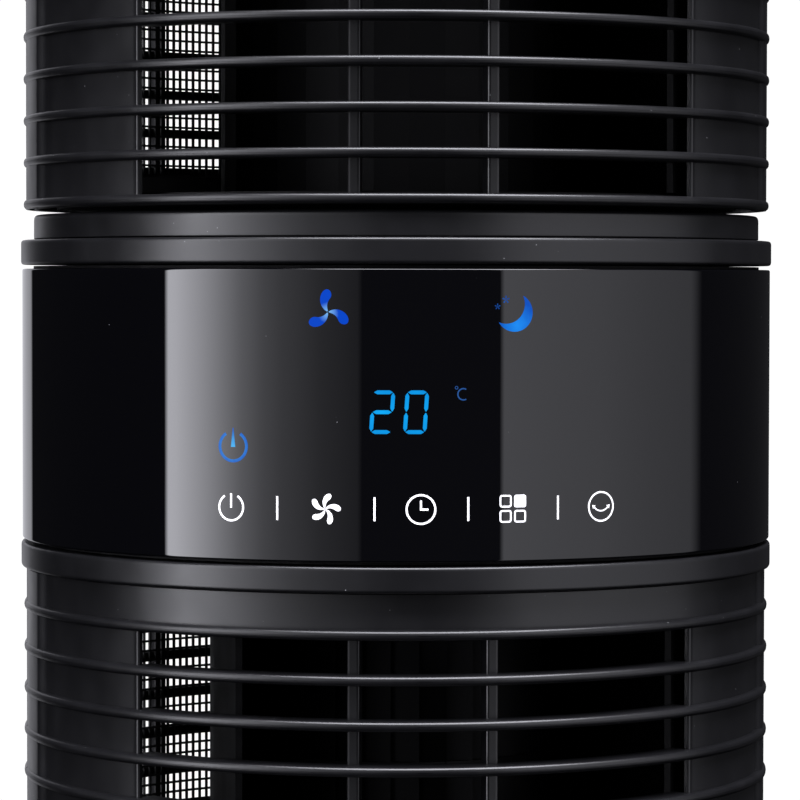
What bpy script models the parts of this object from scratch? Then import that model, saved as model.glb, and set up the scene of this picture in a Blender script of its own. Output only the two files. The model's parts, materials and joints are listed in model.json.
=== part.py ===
"""Two-section tower fan: a round base, a lower fan head, a touch-control band and an upper fan head.

The lower head turns on the base and carries the band; the upper head turns on the band's neck.
Each head holds a cross-flow wheel on a motor, and a small motor whose pinion runs along a fixed
toothed sector and swings the head. Metres, +Z up, front towards -Y, axis of the tower on Z.
"""
import math

import bmesh
import bpy

# ---- overall sizes -------------------------------------------------------------------------
FLANGE_R = 0.0950           # flanges above and below the control band
RIB_PITCH = 0.0105          # from one grille rib to the next
RIB_GAPS = 36               # open gaps in one head
BASE_R = 0.1500

# ---- fits ----------------------------------------------------------------------------------
FIT = 0.0003                # gap between pieces that touch
SEAM = 0.0004               # moulded joint between a grille and the flange above it
GROOVE = 0.0010             # shadow line above and below the glossy band
SWIVEL_GAP = 0.0014         # between a turning head and the neck below it
TURN_FIT = 0.0005           # radial play of a turning part

# ---- grilles -------------------------------------------------------------------------------
RIB_R = FLANGE_R - 0.0005
RIB_T = 0.0024
RIB_DEPTH = 0.0070
WALL_R = RIB_R - 0.0020
WALL_T = 0.0025
BAR_R = RIB_R - 0.0010
BAR_DEPTH = 0.0050
REAR_T = 0.0030
FRONT_SPAN = 85.0           # half angles, in degrees
FRONT_OPEN = 45.0
FRONT_BARS = (-10.4, 10.4)
REAR_OPEN = 60.0
REAR_BARS = (-46.0, 0.0, 46.0)
BAR_HALF = 0.95
EDGE_STRIP = 1.0            # narrow last column, so that a grille's edge runs square
COLUMN_STEP = 20.0          # widest facet of a grille, in degrees
MESH_T = 0.0008
REAR_RIB_STRIDE = 3         # this plain model has every third rear rib
HEAD_H = RIB_PITCH * (RIB_GAPS + 1)

# ---- flanges, band and neck ----------------------------------------------------------------
FLANGE_H = 0.0062
FLANGE_EDGE = 0.0009
FLANGE_LAND = 0.0085        # width of the thick rim
PLATE_T = 0.0030
COLLAR_R = FLANGE_R - 0.00325
COLLAR_H = 0.0063
COLLAR_EDGE = 0.0012
COLLAR_T = 0.0030
TOP_PLATE_T = 0.0025
BAND_R = FLANGE_R - 0.0003
BAND_H = 0.0675
LENS_T = 0.0025
CORE_T = 0.0024
DISPLAY_W = 0.0420
DISPLAY_H = 0.0260
DISPLAY_D = 0.0120
BOARD_H = 0.0540
BOARD_T = 0.0016
BOARD_IN = 0.0195           # control board's middle inside the band's core
STRIP_WIDTH = 0.1090        # touch strip's length round the band
STRIP_H = 0.0160
STRIP_T = 0.0008
STRIP_DROP = 0.0180         # touch strip's middle below the band's middle
BOARD_GAP = 0.0005          # control board's corners to the band's core
CORE_STEPS = 40
DISPLAY_LIFT = 0.0080       # display's middle above the band's middle
WINDOW_MARGIN = 0.0010      # opening in the band's core round the display
CAP_H = 0.0110
CAP_R = FLANGE_R - 0.0020
CAP_CROWN = ((0.0400, 0.0010), (0.0120, 0.0028), (0.0040, 0.0050), (0.0010, 0.0075))

# ---- swivel and swing drive ----------------------------------------------------------------
POST_R = 0.0110
POST_BORE = 0.0070
POST_FOOT_R = 0.0220
POST_FOOT_T = 0.0025
HUB_R = POST_R + TURN_FIT + 0.0027
NECK_HOLE_R = HUB_R + TURN_FIT
WASHER_R = 0.0300
RETAINER_R = 0.0210
RETAINER_T = 0.0025
DECK_T = 0.0030
GEAR_MODULE = 0.0012
SECTOR_TEETH = 36           # teeth of the whole circle
SECTOR_CUT = 5              # teeth kept on each side of the middle one
PINION_TEETH = 12
PRESSURE_ANGLE = 25.0
BACKLASH = 0.0003
GEAR_T = 0.0060
GEAR_LIFT = 0.0007          # gear above the turntable
SWING_MOTOR_R = 0.0140
SWING_MOTOR_H = 0.0190
SWING_SHAFT_R = 0.0020
EAR_REACH = 0.0175
EAR_R = 0.0035
EAR_T = 0.0012
SWING_SHAFT_H = 0.0060      # pinion shaft's reach into its motor
GEAR_DROP = 0.0020          # gears below the motor
SECTOR_BACK = 0.0060        # plain back of the sector outside the post

# ---- blower --------------------------------------------------------------------------------
HOUSING_T = 0.0015
HOUSING_H = 0.0860
MOTOR_R = 0.0340
MOTOR_H = 0.0440
MOTOR_EDGE = 0.0040
MOTOR_BOSS_R = 0.0120
MOTOR_BOSS_RISE = 0.0010    # boss above the housing
HOUSING_EDGE = 0.0020
SHAFT_R = 0.0040
SHAFT_SEAT = 0.0140
WHEEL_R = 0.0400
WHEEL_T = 0.0050
WHEEL_BLADES = 10
WHEEL_BAYS = 2
WHEEL_RING = 0.0050
WHEEL_LIFT = 0.0040         # wheel above the motor housing
WHEEL_TOP_GAP = 0.0130      # wheel below the bearing
BUSH_R = 0.0085
BUSH_H = 0.0080
BOSS_T = 0.0030
SHEET_T = 0.0016
SCROLL_FROM = 118.0         # angles from +X, in degrees
SCROLL_TO = -46.0
SCROLL_GAP = 0.0055         # scroll's start outside the wheel
TONGUE_GAP = 0.0020
TONGUE_LIP = 168.0          # angle of the lip beside the wheel
TONGUE_BEND_Y = 0.0040      # where the plate turns to the front
TONGUE_KINK = (0.0004, 0.0200)
TONGUE_LEAN = 0.0044        # how far the plate's front edge leans in

# ---- base ----------------------------------------------------------------------------------
BASE_TOP = 0.0380
BASE_RIM_H = 0.0150
BASE_SHOULDER = 0.0205
BASE_WAIST = 0.0255
BASE_WALL = 0.0025
BASE_EDGE_Z = 0.0045
BASE_SLOPE_IN = 0.0055      # where the cover's slope ends, in from the edge
BASE_ROUND = (0.0015, 0.0020)
WAIST_ROUND = 0.0030
COVER_INSIDE = (0.0040, 0.0005)
FLOOR_PLATE_Z = 0.0040
FLOOR_PLATE_T = 0.0025
FOOT_COUNT = 6
FOOT_R = 0.0090
FOOT_RING = 0.0250          # feet's circle in from the base's edge
SCREW_COUNT = 4
SCREW_R = 0.0020
SCREW_HEAD_R = 0.0040
SCREW_HEAD_T = 0.0018
SCREW_LENGTH = 0.0110
SCREW_POINT = 0.0008
SCREW_CHAMFER = 0.0006
SCREW_RING = 0.0320
BOSS_R = 0.0052
BOSS_JOIN = 0.0012          # how far a screw boss runs into the cover's slope
FOOT_CHAMFER = 0.0010
BALLAST_T = 0.0070
BALLAST_IN = 0.0500
BALLAST_RING = 0.0500       # ballast's edge in from the base's edge
INLET_Z = 0.0122
INLET_R = 0.0050
INLET_BORE = 0.0035
INLET_LENGTH = 0.0075
POWER_BOARD = (0.0600, 0.0340, 0.0016)
POWER_BOARD_Y = -0.0560
POWER_BLOCKS = ((-0.0180, 0.0120), (0.0020, 0.0100), (0.0190, 0.0130))
POWER_BLOCK_H = 0.0100
CUT_OVER = 0.0010           # how far a cutter stands past what it cuts

# ---- places worked out from the sizes --------------------------------------------------------
REAR_SPAN = 180.0 - FRONT_SPAN - math.degrees(2 * FIT / RIB_R)
SECTOR_PITCH_R = GEAR_MODULE * SECTOR_TEETH / 2
PINION_PITCH_R = GEAR_MODULE * PINION_TEETH / 2
PINION_Y = SECTOR_PITCH_R + PINION_PITCH_R
HOUSING_R = PINION_Y + SWING_MOTOR_R + FIT + HOUSING_T
DECK_R = (RIB_R - RIB_DEPTH) * math.cos(math.radians(COLUMN_STEP / 2)) - FIT
SWING_MOTOR_Z = DECK_T + GEAR_LIFT + GEAR_T + GEAR_DROP
LOWER_Z = BASE_TOP + SWIVEL_GAP
LOWER_TOP = LOWER_Z + HEAD_H + SEAM + FLANGE_H
BAND_Z = LOWER_TOP + GROOVE
NECK_FLANGE_Z = BAND_Z + BAND_H + GROOVE
NECK_TOP = NECK_FLANGE_Z + FLANGE_H + COLLAR_H
UPPER_Z = NECK_TOP + SWIVEL_GAP
UPPER_TOP = UPPER_Z + HEAD_H + SEAM + FLANGE_H


def clear_scene():
    for item in list(bpy.data.objects):
        bpy.data.objects.remove(item, do_unlink=True)


def collection(name):
    made = bpy.data.collections.new(name)
    bpy.context.scene.collection.children.link(made)
    return made


def material(name, colour, roughness, metallic=0.0):
    made = bpy.data.materials.new(name)
    made.use_nodes = True
    shader = made.node_tree.nodes["Principled BSDF"]
    shader.inputs["Base Color"].default_value = (*colour, 1.0)
    shader.inputs["Roughness"].default_value = roughness
    shader.inputs["Metallic"].default_value = metallic
    return made


clear_scene()
PARTS = collection("tower_fan")
CUTTERS = collection("cutters")
SATIN = material("satin_black_plastic", (0.012, 0.012, 0.013), 0.42)
GLOSS = material("gloss_black_plastic", (0.006, 0.006, 0.008), 0.06)
DARK = material("dark_grey_plastic", (0.020, 0.020, 0.022), 0.55)
RUBBER = material("black_rubber", (0.015, 0.015, 0.015), 0.80)
STEEL = material("zinc_plated_steel", (0.55, 0.56, 0.58), 0.35, 1.0)
CAST = material("ballast_iron", (0.10, 0.10, 0.105), 0.70, 1.0)
NYLON = material("natural_nylon", (0.62, 0.60, 0.54), 0.45)
BRONZE = material("sintered_bronze", (0.42, 0.26, 0.12), 0.50, 1.0)
BOARD = material("green_board", (0.015, 0.090, 0.040), 0.50)
GLASS = material("display_window", (0.010, 0.015, 0.040), 0.10)


def empty(name, location, parent=None):
    made = bpy.data.objects.new(name, None)
    made.location = location
    made.parent = parent
    PARTS.objects.link(made)
    return made


def place(name, mesh, paint, parent=None, location=(0.0, 0.0, 0.0), group=None):
    """Wrap a mesh or curve in an object, painted, parented and placed."""
    made = bpy.data.objects.new(name, mesh)
    made.location = location
    made.parent = parent
    if paint is not None:
        mesh.materials.append(paint)
    (group or PARTS).objects.link(made)
    return made


def lathe(name, profile, paint, steps=64, closed=True, **where):
    """Turn (radius, height) points about Z. An open profile runs from the axis to the axis."""
    area = sum(a[0] * b[1] - b[0] * a[1] for a, b in zip(profile, profile[1:] + profile[:1]))
    points = profile if area < 0 or not closed else profile[::-1]
    mesh = bpy.data.meshes.new(name)
    edges = [(i, i + 1) for i in range(len(points) - 1)]
    if closed:
        edges.append((len(points) - 1, 0))
    mesh.from_pydata([(r, 0.0, z) for r, z in points], edges, [])
    made = place(name, mesh, paint, **where)
    turn = made.modifiers.new("turn", 'SCREW')
    turn.steps = steps
    turn.render_steps = steps
    turn.use_merge_vertices = True
    turn.merge_threshold = 0.00005
    return made


def ring(name, inner, outer, low, high, paint, steps=32, **where):
    profile = [(outer, high), (outer, low), (inner, low), (inner, high)]
    return lathe(name, profile, paint, steps, **where)


def box(name, size, paint, group=None, **where):
    shape = bmesh.new()
    bmesh.ops.create_cube(shape, size=1.0)
    bmesh.ops.scale(shape, vec=size, verts=shape.verts)
    mesh = bpy.data.meshes.new(name)
    shape.to_mesh(mesh)
    shape.free()
    return place(name, mesh, paint, group=group, **where)


def rod(name, radius, low, high, paint, steps=24, group=None, parent=None, at=(0.0, 0.0)):
    """Upright cylinder from height low to high."""
    shape = bmesh.new()
    bmesh.ops.create_cone(shape, cap_ends=True, segments=steps, radius1=radius,
                          radius2=radius, depth=high - low)
    mesh = bpy.data.meshes.new(name)
    shape.to_mesh(mesh)
    shape.free()
    middle = (at[0], at[1], (low + high) / 2)
    return place(name, mesh, paint, parent, middle, group)


def combine(target, tool, operation):
    """Cut or join with a helper object that stays hidden in the cutters collection."""
    tool.hide_render = True
    tool.display_type = 'WIRE'
    change = target.modifiers.new(tool.name, 'BOOLEAN')
    change.operation = operation
    change.solver = 'EXACT'
    change.object = tool


def flat_outline(name, loops, low, high, paint, **where):
    """Plate of the given flat outline; later loops are holes."""
    curve = bpy.data.curves.new(name, 'CURVE')
    curve.dimensions = '2D'
    curve.fill_mode = 'BOTH'
    curve.extrude = (high - low) / 2
    for loop in loops:
        spline = curve.splines.new('POLY')
        spline.points.add(len(loop) - 1)
        for point, (x, y) in zip(spline.points, loop):
            point.co = (x, y, 0.0, 1.0)
        spline.use_cyclic_u = True
    made = place(name, curve, paint, **where)
    made.location.z += (low + high) / 2
    return made


def circle_points(radius, count, start=0.0):
    turn = 2 * math.pi / count
    return [(radius * math.cos(start + i * turn), radius * math.sin(start + i * turn))
            for i in range(count)]


def sheet(name, path, low, high, thickness, paint, parent=None):
    """Upright sheet along a plan path, thickened evenly to both sides."""
    count = len(path)
    points = [(x, y, z) for z in (low, high) for x, y in path]
    faces = [(i, i + 1, count + i + 1, count + i) for i in range(count - 1)]
    mesh = bpy.data.meshes.new(name)
    mesh.from_pydata(points, [], faces)
    made = place(name, mesh, paint, parent)
    skin = made.modifiers.new("thickness", 'SOLIDIFY')
    skin.thickness = thickness
    skin.offset = 0.0
    return made


# ---- grilles -------------------------------------------------------------------------------
def column_angles(span, opening, bars):
    """Angles of a grille's columns from one edge to the other: walls, windows and bars."""
    marks = [-span, -span + EDGE_STRIP, -opening]
    for bar in bars:
        marks += [bar - BAR_HALF, bar + BAR_HALF]
    marks += [opening, span - EDGE_STRIP, span]
    angles = [marks[0]]
    for start, end in zip(marks, marks[1:]):
        count = max(1, math.ceil((end - start) / COLUMN_STEP))
        angles += [start + (end - start) * (i + 1) / count for i in range(count)]
    return angles


def near_bar(angle, bars, margin):
    return any(abs(angle - bar) < BAR_HALF + margin for bar in bars)


def rib_levels(stride):
    """Heights where ribs start and end, up to the plain top of the grille."""
    levels = []
    for rib in range(0, RIB_GAPS + 1, stride):
        levels += [rib * RIB_PITCH, rib * RIB_PITCH + RIB_T]
    return levels + [HEAD_H]


def grille(name, parent, facing, span, opening, bars, stride, shape_at):
    """Curved grid with its windows left out, thickened inwards. shape_at gives radius and depth."""
    angles = column_angles(span, opening, bars)
    levels = rib_levels(stride)
    shape = bmesh.new()
    weight = shape.verts.layers.deform.verify()
    deepest = max(shape_at(angle)[1] for angle in angles)
    grid = []
    for level in levels:
        row = []
        for angle in angles:
            radius, depth = shape_at(angle)
            turn = math.radians(facing + angle)
            vert = shape.verts.new((radius * math.cos(turn), radius * math.sin(turn), level))
            vert[weight][0] = depth / deepest
            row.append(vert)
        grid.append(row)
    walls = []
    for i in range(len(levels) - 1):
        for j in range(len(angles) - 1):
            middle = (angles[j] + angles[j + 1]) / 2
            solid = abs(middle) > opening
            if i % 2 and i < len(levels) - 2 and not solid and not near_bar(middle, bars, 0.0):
                continue
            face = shape.faces.new((grid[i][j], grid[i][j + 1], grid[i + 1][j + 1], grid[i + 1][j]))
            if solid:
                walls.append(face)
    merge_flat(shape, walls)
    mesh = bpy.data.meshes.new(name)
    shape.to_mesh(mesh)
    shape.free()
    made = place(name, mesh, SATIN, parent)
    made.vertex_groups.new(name="depth")
    skin = made.modifiers.new("depth", 'SOLIDIFY')
    skin.thickness = deepest
    skin.offset = -1.0
    skin.vertex_group = "depth"
    return made


def merge_flat(shape, faces):
    """Join flat wall faces so that plain walls stay light."""
    edges = {edge for face in faces for edge in face.edges if len(edge.link_faces) == 2
             and all(linked in faces for linked in edge.link_faces)}
    verts = {vert for edge in edges for vert in edge.verts}
    shape.normal_update()
    bmesh.ops.dissolve_limit(shape, angle_limit=math.radians(0.5), verts=list(verts),
                             edges=list(edges), use_dissolve_boundaries=True)


def front_shape(angle):
    """Ribs stand proud in the opening; walls and bars lie back."""
    if abs(angle) > FRONT_OPEN - 0.1:
        return WALL_R, WALL_T
    if near_bar(angle, FRONT_BARS, 0.1):
        return BAR_R, BAR_DEPTH
    return RIB_R, RIB_DEPTH


def rear_shape(angle):
    return RIB_R, REAR_T


def mesh_screen(name, parent):
    """Fine intake mesh as a thin curved skin just inside the rear grille."""
    angles = [a for a in column_angles(REAR_SPAN, REAR_OPEN, REAR_BARS) if abs(a) <= REAR_OPEN + 0.1]
    radius = RIB_R - REAR_T - FIT - MESH_T / 2
    path = []
    for angle in angles:
        turn = math.radians(90.0 + angle)
        path.append((radius * math.cos(turn), radius * math.sin(turn)))
    return sheet(name, path, RIB_PITCH, HEAD_H - RIB_PITCH, MESH_T, DARK, parent)


# ---- gears ---------------------------------------------------------------------------------
def involute_offset(radius, pitch_r):
    """Angle by which an involute flank leans in at this radius, measured from the pitch circle."""
    def roll(r):
        base = pitch_r * math.cos(math.radians(PRESSURE_ANGLE))
        slope = math.acos(min(1.0, base / r))
        return math.tan(slope) - slope
    return roll(radius) - roll(pitch_r)


def tooth(centre, teeth):
    """Outline of one tooth, from its right root round its tip to its left root."""
    pitch_r = GEAR_MODULE * teeth / 2
    root = pitch_r - 1.35 * GEAR_MODULE
    radii = (root, pitch_r, pitch_r + GEAR_MODULE)
    half = math.pi / 2 / teeth - BACKLASH / 2 / pitch_r
    flank = [(r, half - involute_offset(r, pitch_r)) for r in radii]
    right = [(r, centre - lean) for r, lean in flank]
    left = [(r, centre + lean) for r, lean in reversed(flank)]
    return [(r * math.cos(a), r * math.sin(a)) for r, a in right + left]


def pinion_outline():
    points = []
    for i in range(PINION_TEETH):
        points += tooth(2 * math.pi * (i + 0.5) / PINION_TEETH - math.pi / 2, PINION_TEETH)
    return points


def sector_outline():
    """Toothed arc facing +Y, closed round the back by a plain smaller arc."""
    points = []
    pitch = 2 * math.pi / SECTOR_TEETH
    for i in range(-SECTOR_CUT, SECTOR_CUT + 1):
        points += tooth(math.pi / 2 + i * pitch, SECTOR_TEETH)
    plain_r = POST_R + SECTOR_BACK
    edge = (SECTOR_CUT + 1) * pitch
    steps = 12
    for i in range(steps + 1):
        angle = math.pi / 2 + edge + (2 * math.pi - 2 * edge) * i / steps
        points.append((plain_r * math.cos(angle), plain_r * math.sin(angle)))
    return points


# ---- swivel: fixed post and sector, turning deck, pinion ------------------------------------
def fixed_swivel(prefix, foot_z, head_z):
    """Post, thrust washer and toothed sector that stay with the part below the head."""
    post = [(POST_R, head_z + SWING_MOTOR_Z), (POST_R, foot_z + POST_FOOT_T),
            (POST_FOOT_R, foot_z + POST_FOOT_T), (POST_FOOT_R, foot_z), (POST_BORE, foot_z),
            (POST_BORE, head_z + SWING_MOTOR_Z)]
    lathe(prefix + "_spindle", post, STEEL, 20)
    ring(prefix + "_thrust_washer", NECK_HOLE_R + FIT, WASHER_R, head_z - SWIVEL_GAP + FIT,
         head_z - FIT, NYLON, 24)
    low = head_z + DECK_T + GEAR_LIFT
    bore = circle_points(POST_R + FIT, 24)
    flat_outline(prefix + "_gear_sector", [sector_outline(), bore], low, low + GEAR_T, NYLON)


def turntable(prefix, head):
    hub_low = -SWIVEL_GAP - TOP_PLATE_T - TURN_FIT - RETAINER_T - FIT
    bore = POST_R + TURN_FIT
    profile = [(DECK_R, DECK_T), (DECK_R, 0.0), (HUB_R, 0.0), (HUB_R, hub_low), (bore, hub_low),
               (bore, DECK_T)]
    deck = lathe(prefix + "_turntable", profile, DARK, 36, parent=head)
    for side in (-1, 1):
        stud = rod(f"{prefix}_stud_{side}", EAR_R, DECK_T / 2, SWING_MOTOR_Z - FIT, None, 8,
                   CUTTERS, head, (side * EAR_REACH, PINION_Y))
        combine(deck, stud, 'UNION')
    low = hub_low + FIT
    ring(prefix + "_retaining_ring", HUB_R + FIT, RETAINER_R, low, low + RETAINER_T, STEEL, 20,
         parent=head)


def swing_drive(prefix, head):
    """Small geared motor on two studs, and its pinion below."""
    top = SWING_MOTOR_Z + SWING_MOTOR_H
    shaft_top = SWING_MOTOR_Z + SWING_SHAFT_H
    motor = rod(prefix + "_swing_motor", SWING_MOTOR_R, SWING_MOTOR_Z, top, STEEL, 20, None, head,
                (0.0, PINION_Y))
    ears = box(prefix + "_ears", (2 * EAR_REACH + 2 * EAR_R, 2 * EAR_R, EAR_T), None, CUTTERS,
               parent=head, location=(0.0, PINION_Y, SWING_MOTOR_Z + EAR_T / 2))
    combine(motor, ears, 'UNION')
    bore = rod(prefix + "_swing_bore", SWING_SHAFT_R + FIT, SWING_MOTOR_Z - CUT_OVER,
               shaft_top + FIT, None, 16, CUTTERS, head, (0.0, PINION_Y))
    combine(motor, bore, 'DIFFERENCE')
    axis = empty(prefix + "_pinion_axis", (0.0, PINION_Y, 0.0), head)
    low = DECK_T + GEAR_LIFT
    outline = flat_outline(prefix + "_pinion_blank", [pinion_outline()], low, low + GEAR_T, NYLON,
                           parent=axis)
    pinion = curve_to_mesh(outline, prefix + "_swing_pinion")
    shaft = rod(prefix + "_pinion_shaft", SWING_SHAFT_R, low + GEAR_T / 2, shaft_top, None, 16,
                CUTTERS, axis)
    combine(pinion, shaft, 'UNION')


def curve_to_mesh(curve_object, name):
    """Swap a curve for a welded mesh, so that a Boolean can work on it."""
    bpy.context.view_layer.update()
    graph = bpy.context.evaluated_depsgraph_get()
    mesh = bpy.data.meshes.new_from_object(curve_object.evaluated_get(graph))
    mesh.name = name
    shape = bmesh.new()
    shape.from_mesh(mesh)
    bmesh.ops.remove_doubles(shape, verts=shape.verts, dist=0.00001)
    bmesh.ops.recalc_face_normals(shape, faces=shape.faces)
    shape.to_mesh(mesh)
    shape.free()
    made = bpy.data.objects.new(name, mesh)
    made.parent = curve_object.parent
    made.location = curve_object.location
    PARTS.objects.link(made)
    bpy.data.objects.remove(curve_object)
    return made


# ---- blower --------------------------------------------------------------------------------
def blower_motor(prefix, head):
    plate_low = HOUSING_H - TOP_PLATE_T
    hole = MOTOR_BOSS_R + FIT
    edge = HOUSING_EDGE
    housing = [(HOUSING_R, HOUSING_H - edge), (HOUSING_R, DECK_T + FIT),
               (HOUSING_R - HOUSING_T, DECK_T + FIT), (HOUSING_R - HOUSING_T, plate_low),
               (hole, plate_low), (hole, HOUSING_H), (HOUSING_R - edge, HOUSING_H)]
    lathe(prefix + "_motor_housing", housing, DARK, 32, parent=head)
    top = plate_low - FIT
    low = top - MOTOR_H
    boss_top = HOUSING_H + MOTOR_BOSS_RISE
    bore = SHAFT_R + FIT
    seat = boss_top - SHAFT_SEAT - FIT
    edge = MOTOR_EDGE
    motor = [(bore, boss_top), (MOTOR_BOSS_R, boss_top), (MOTOR_BOSS_R, top),
             (MOTOR_R - edge, top), (MOTOR_R, top - edge), (MOTOR_R, low + edge),
             (MOTOR_R - edge, low), (0.0, low)]
    lathe(prefix + "_motor", [(0.0, seat), (bore, seat)] + motor, STEEL, 24, closed=False,
          parent=head)


def blower_wheel(prefix, head, shaft_top):
    """Cage of upright blades between end plates, on a shaft from the motor to the bush."""
    axis = empty(prefix + "_blower_axis", (0.0, 0.0, 0.0), head)
    low = HOUSING_H + WHEEL_LIFT
    high = shaft_top - WHEEL_TOP_GAP
    bay = (high - low - WHEEL_RING * (WHEEL_BAYS + 1)) / WHEEL_BAYS
    levels = [low]
    for i in range(WHEEL_BAYS):
        levels += [levels[-1] + WHEEL_RING, levels[-1] + WHEEL_RING + bay]
    levels.append(high)
    columns = 2 * WHEEL_BLADES
    shape = bmesh.new()
    grid = [[shape.verts.new((x, y, z)) for x, y in circle_points(WHEEL_R, columns)]
            for z in levels]
    hole = SHAFT_R + TURN_FIT
    eyes = [[shape.verts.new((x, y, z)) for x, y in circle_points(hole, columns)]
            for z in (low, high)]
    for j in range(columns):
        k = (j + 1) % columns
        shape.faces.new((eyes[0][k], grid[0][k], grid[0][j], eyes[0][j]))
        shape.faces.new((eyes[1][j], grid[-1][j], grid[-1][k], eyes[1][k]))
        for i in range(len(levels) - 1):
            if i % 2 and j % 2:
                continue
            shape.faces.new((grid[i][j], grid[i][k], grid[i + 1][k], grid[i + 1][j]))
    mesh = bpy.data.meshes.new(prefix + "_blower_wheel")
    shape.to_mesh(mesh)
    shape.free()
    wheel = place(prefix + "_blower_wheel", mesh, DARK, axis)
    skin = wheel.modifiers.new("thickness", 'SOLIDIFY')
    skin.thickness = WHEEL_T
    skin.offset = -1.0
    low_end = HOUSING_H + MOTOR_BOSS_RISE - SHAFT_SEAT
    rod(prefix + "_blower_shaft", SHAFT_R, low_end, shaft_top, STEEL, 16, None, axis)


def air_guides(prefix, head, low, high):
    """Scroll behind and beside the wheel, and the tongue plate that splits in from out."""
    start_r = max(WHEEL_R + SCROLL_GAP, HOUSING_R + FIT + SHEET_T / 2)
    end_r = (WALL_R - WALL_T) * math.cos(math.radians(COLUMN_STEP / 2)) - SHEET_T / 2 - FIT
    steps = 14
    path = []
    for i in range(steps + 1):
        share = i / steps
        angle = math.radians(SCROLL_FROM + (SCROLL_TO - SCROLL_FROM) * share)
        radius = start_r + (end_r - start_r) * share
        path.append((radius * math.cos(angle), radius * math.sin(angle)))
    clear = max(HOUSING_R + FIT, WHEEL_R + TONGUE_GAP) + SHEET_T
    sheet(prefix + "_scroll", path, DECK_T + FIT, high, SHEET_T, DARK, head)
    lip = WHEEL_R + TONGUE_GAP + SHEET_T / 2
    lip_angle = math.radians(TONGUE_LIP)
    tip_x = -clear + TONGUE_LEAN
    tip_y = -math.sqrt((DECK_R - SHEET_T) ** 2 - tip_x ** 2)
    kink_x, kink_y = TONGUE_KINK
    plate = [(lip * math.cos(lip_angle), lip * math.sin(lip_angle)), (-clear, TONGUE_BEND_Y),
             (-clear + kink_x, -kink_y), (tip_x, tip_y)]
    sheet(prefix + "_tongue_plate", plate, low, high, SHEET_T, DARK, head)


def head_flange(name, head, prefix):
    """Flange that closes a head, with the seat of the wheel's top bearing under its plate."""
    low = HEAD_H + SEAM
    high = low + FLANGE_H
    plate = high - PLATE_T
    seat_low = plate - BUSH_H - FIT
    seat_r = BUSH_R + FIT
    edge = FLANGE_EDGE
    profile = [(FLANGE_R - edge, high), (FLANGE_R, high - edge), (FLANGE_R, low + edge),
               (FLANGE_R - edge, low), (FLANGE_R - FLANGE_LAND, low),
               (FLANGE_R - FLANGE_LAND, plate), (seat_r + BOSS_T, plate),
               (seat_r + BOSS_T, seat_low), (seat_r, seat_low), (seat_r, plate),
               (SHAFT_R, plate), (SHAFT_R, high)]
    lathe(name, profile, SATIN, 44, parent=head)
    ring(prefix + "_bearing_bush", SHAFT_R + FIT, BUSH_R, seat_low, plate - FIT, BRONZE, 20,
         parent=head)
    return seat_low


def fan_head(prefix, z, flange_name):
    """One complete head in its own frame; its base is at height z."""
    head = empty(prefix + "_head_axis", (0.0, 0.0, z))
    turntable(prefix, head)
    swing_drive(prefix, head)
    grille(prefix + "_front_grille", head, -90.0, FRONT_SPAN, FRONT_OPEN, FRONT_BARS, 1,
           front_shape)
    grille(prefix + "_rear_grille", head, 90.0, REAR_SPAN, REAR_OPEN, REAR_BARS,
           REAR_RIB_STRIDE, rear_shape)
    mesh_screen(prefix + "_rear_mesh", head)
    blower_motor(prefix, head)
    seat_low = head_flange(flange_name, head, prefix)
    blower_wheel(prefix, head, seat_low + BUSH_H - 2 * FIT)
    air_guides(prefix, head, HOUSING_H + WHEEL_LIFT / 2, HEAD_H + SEAM - FIT)


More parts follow.
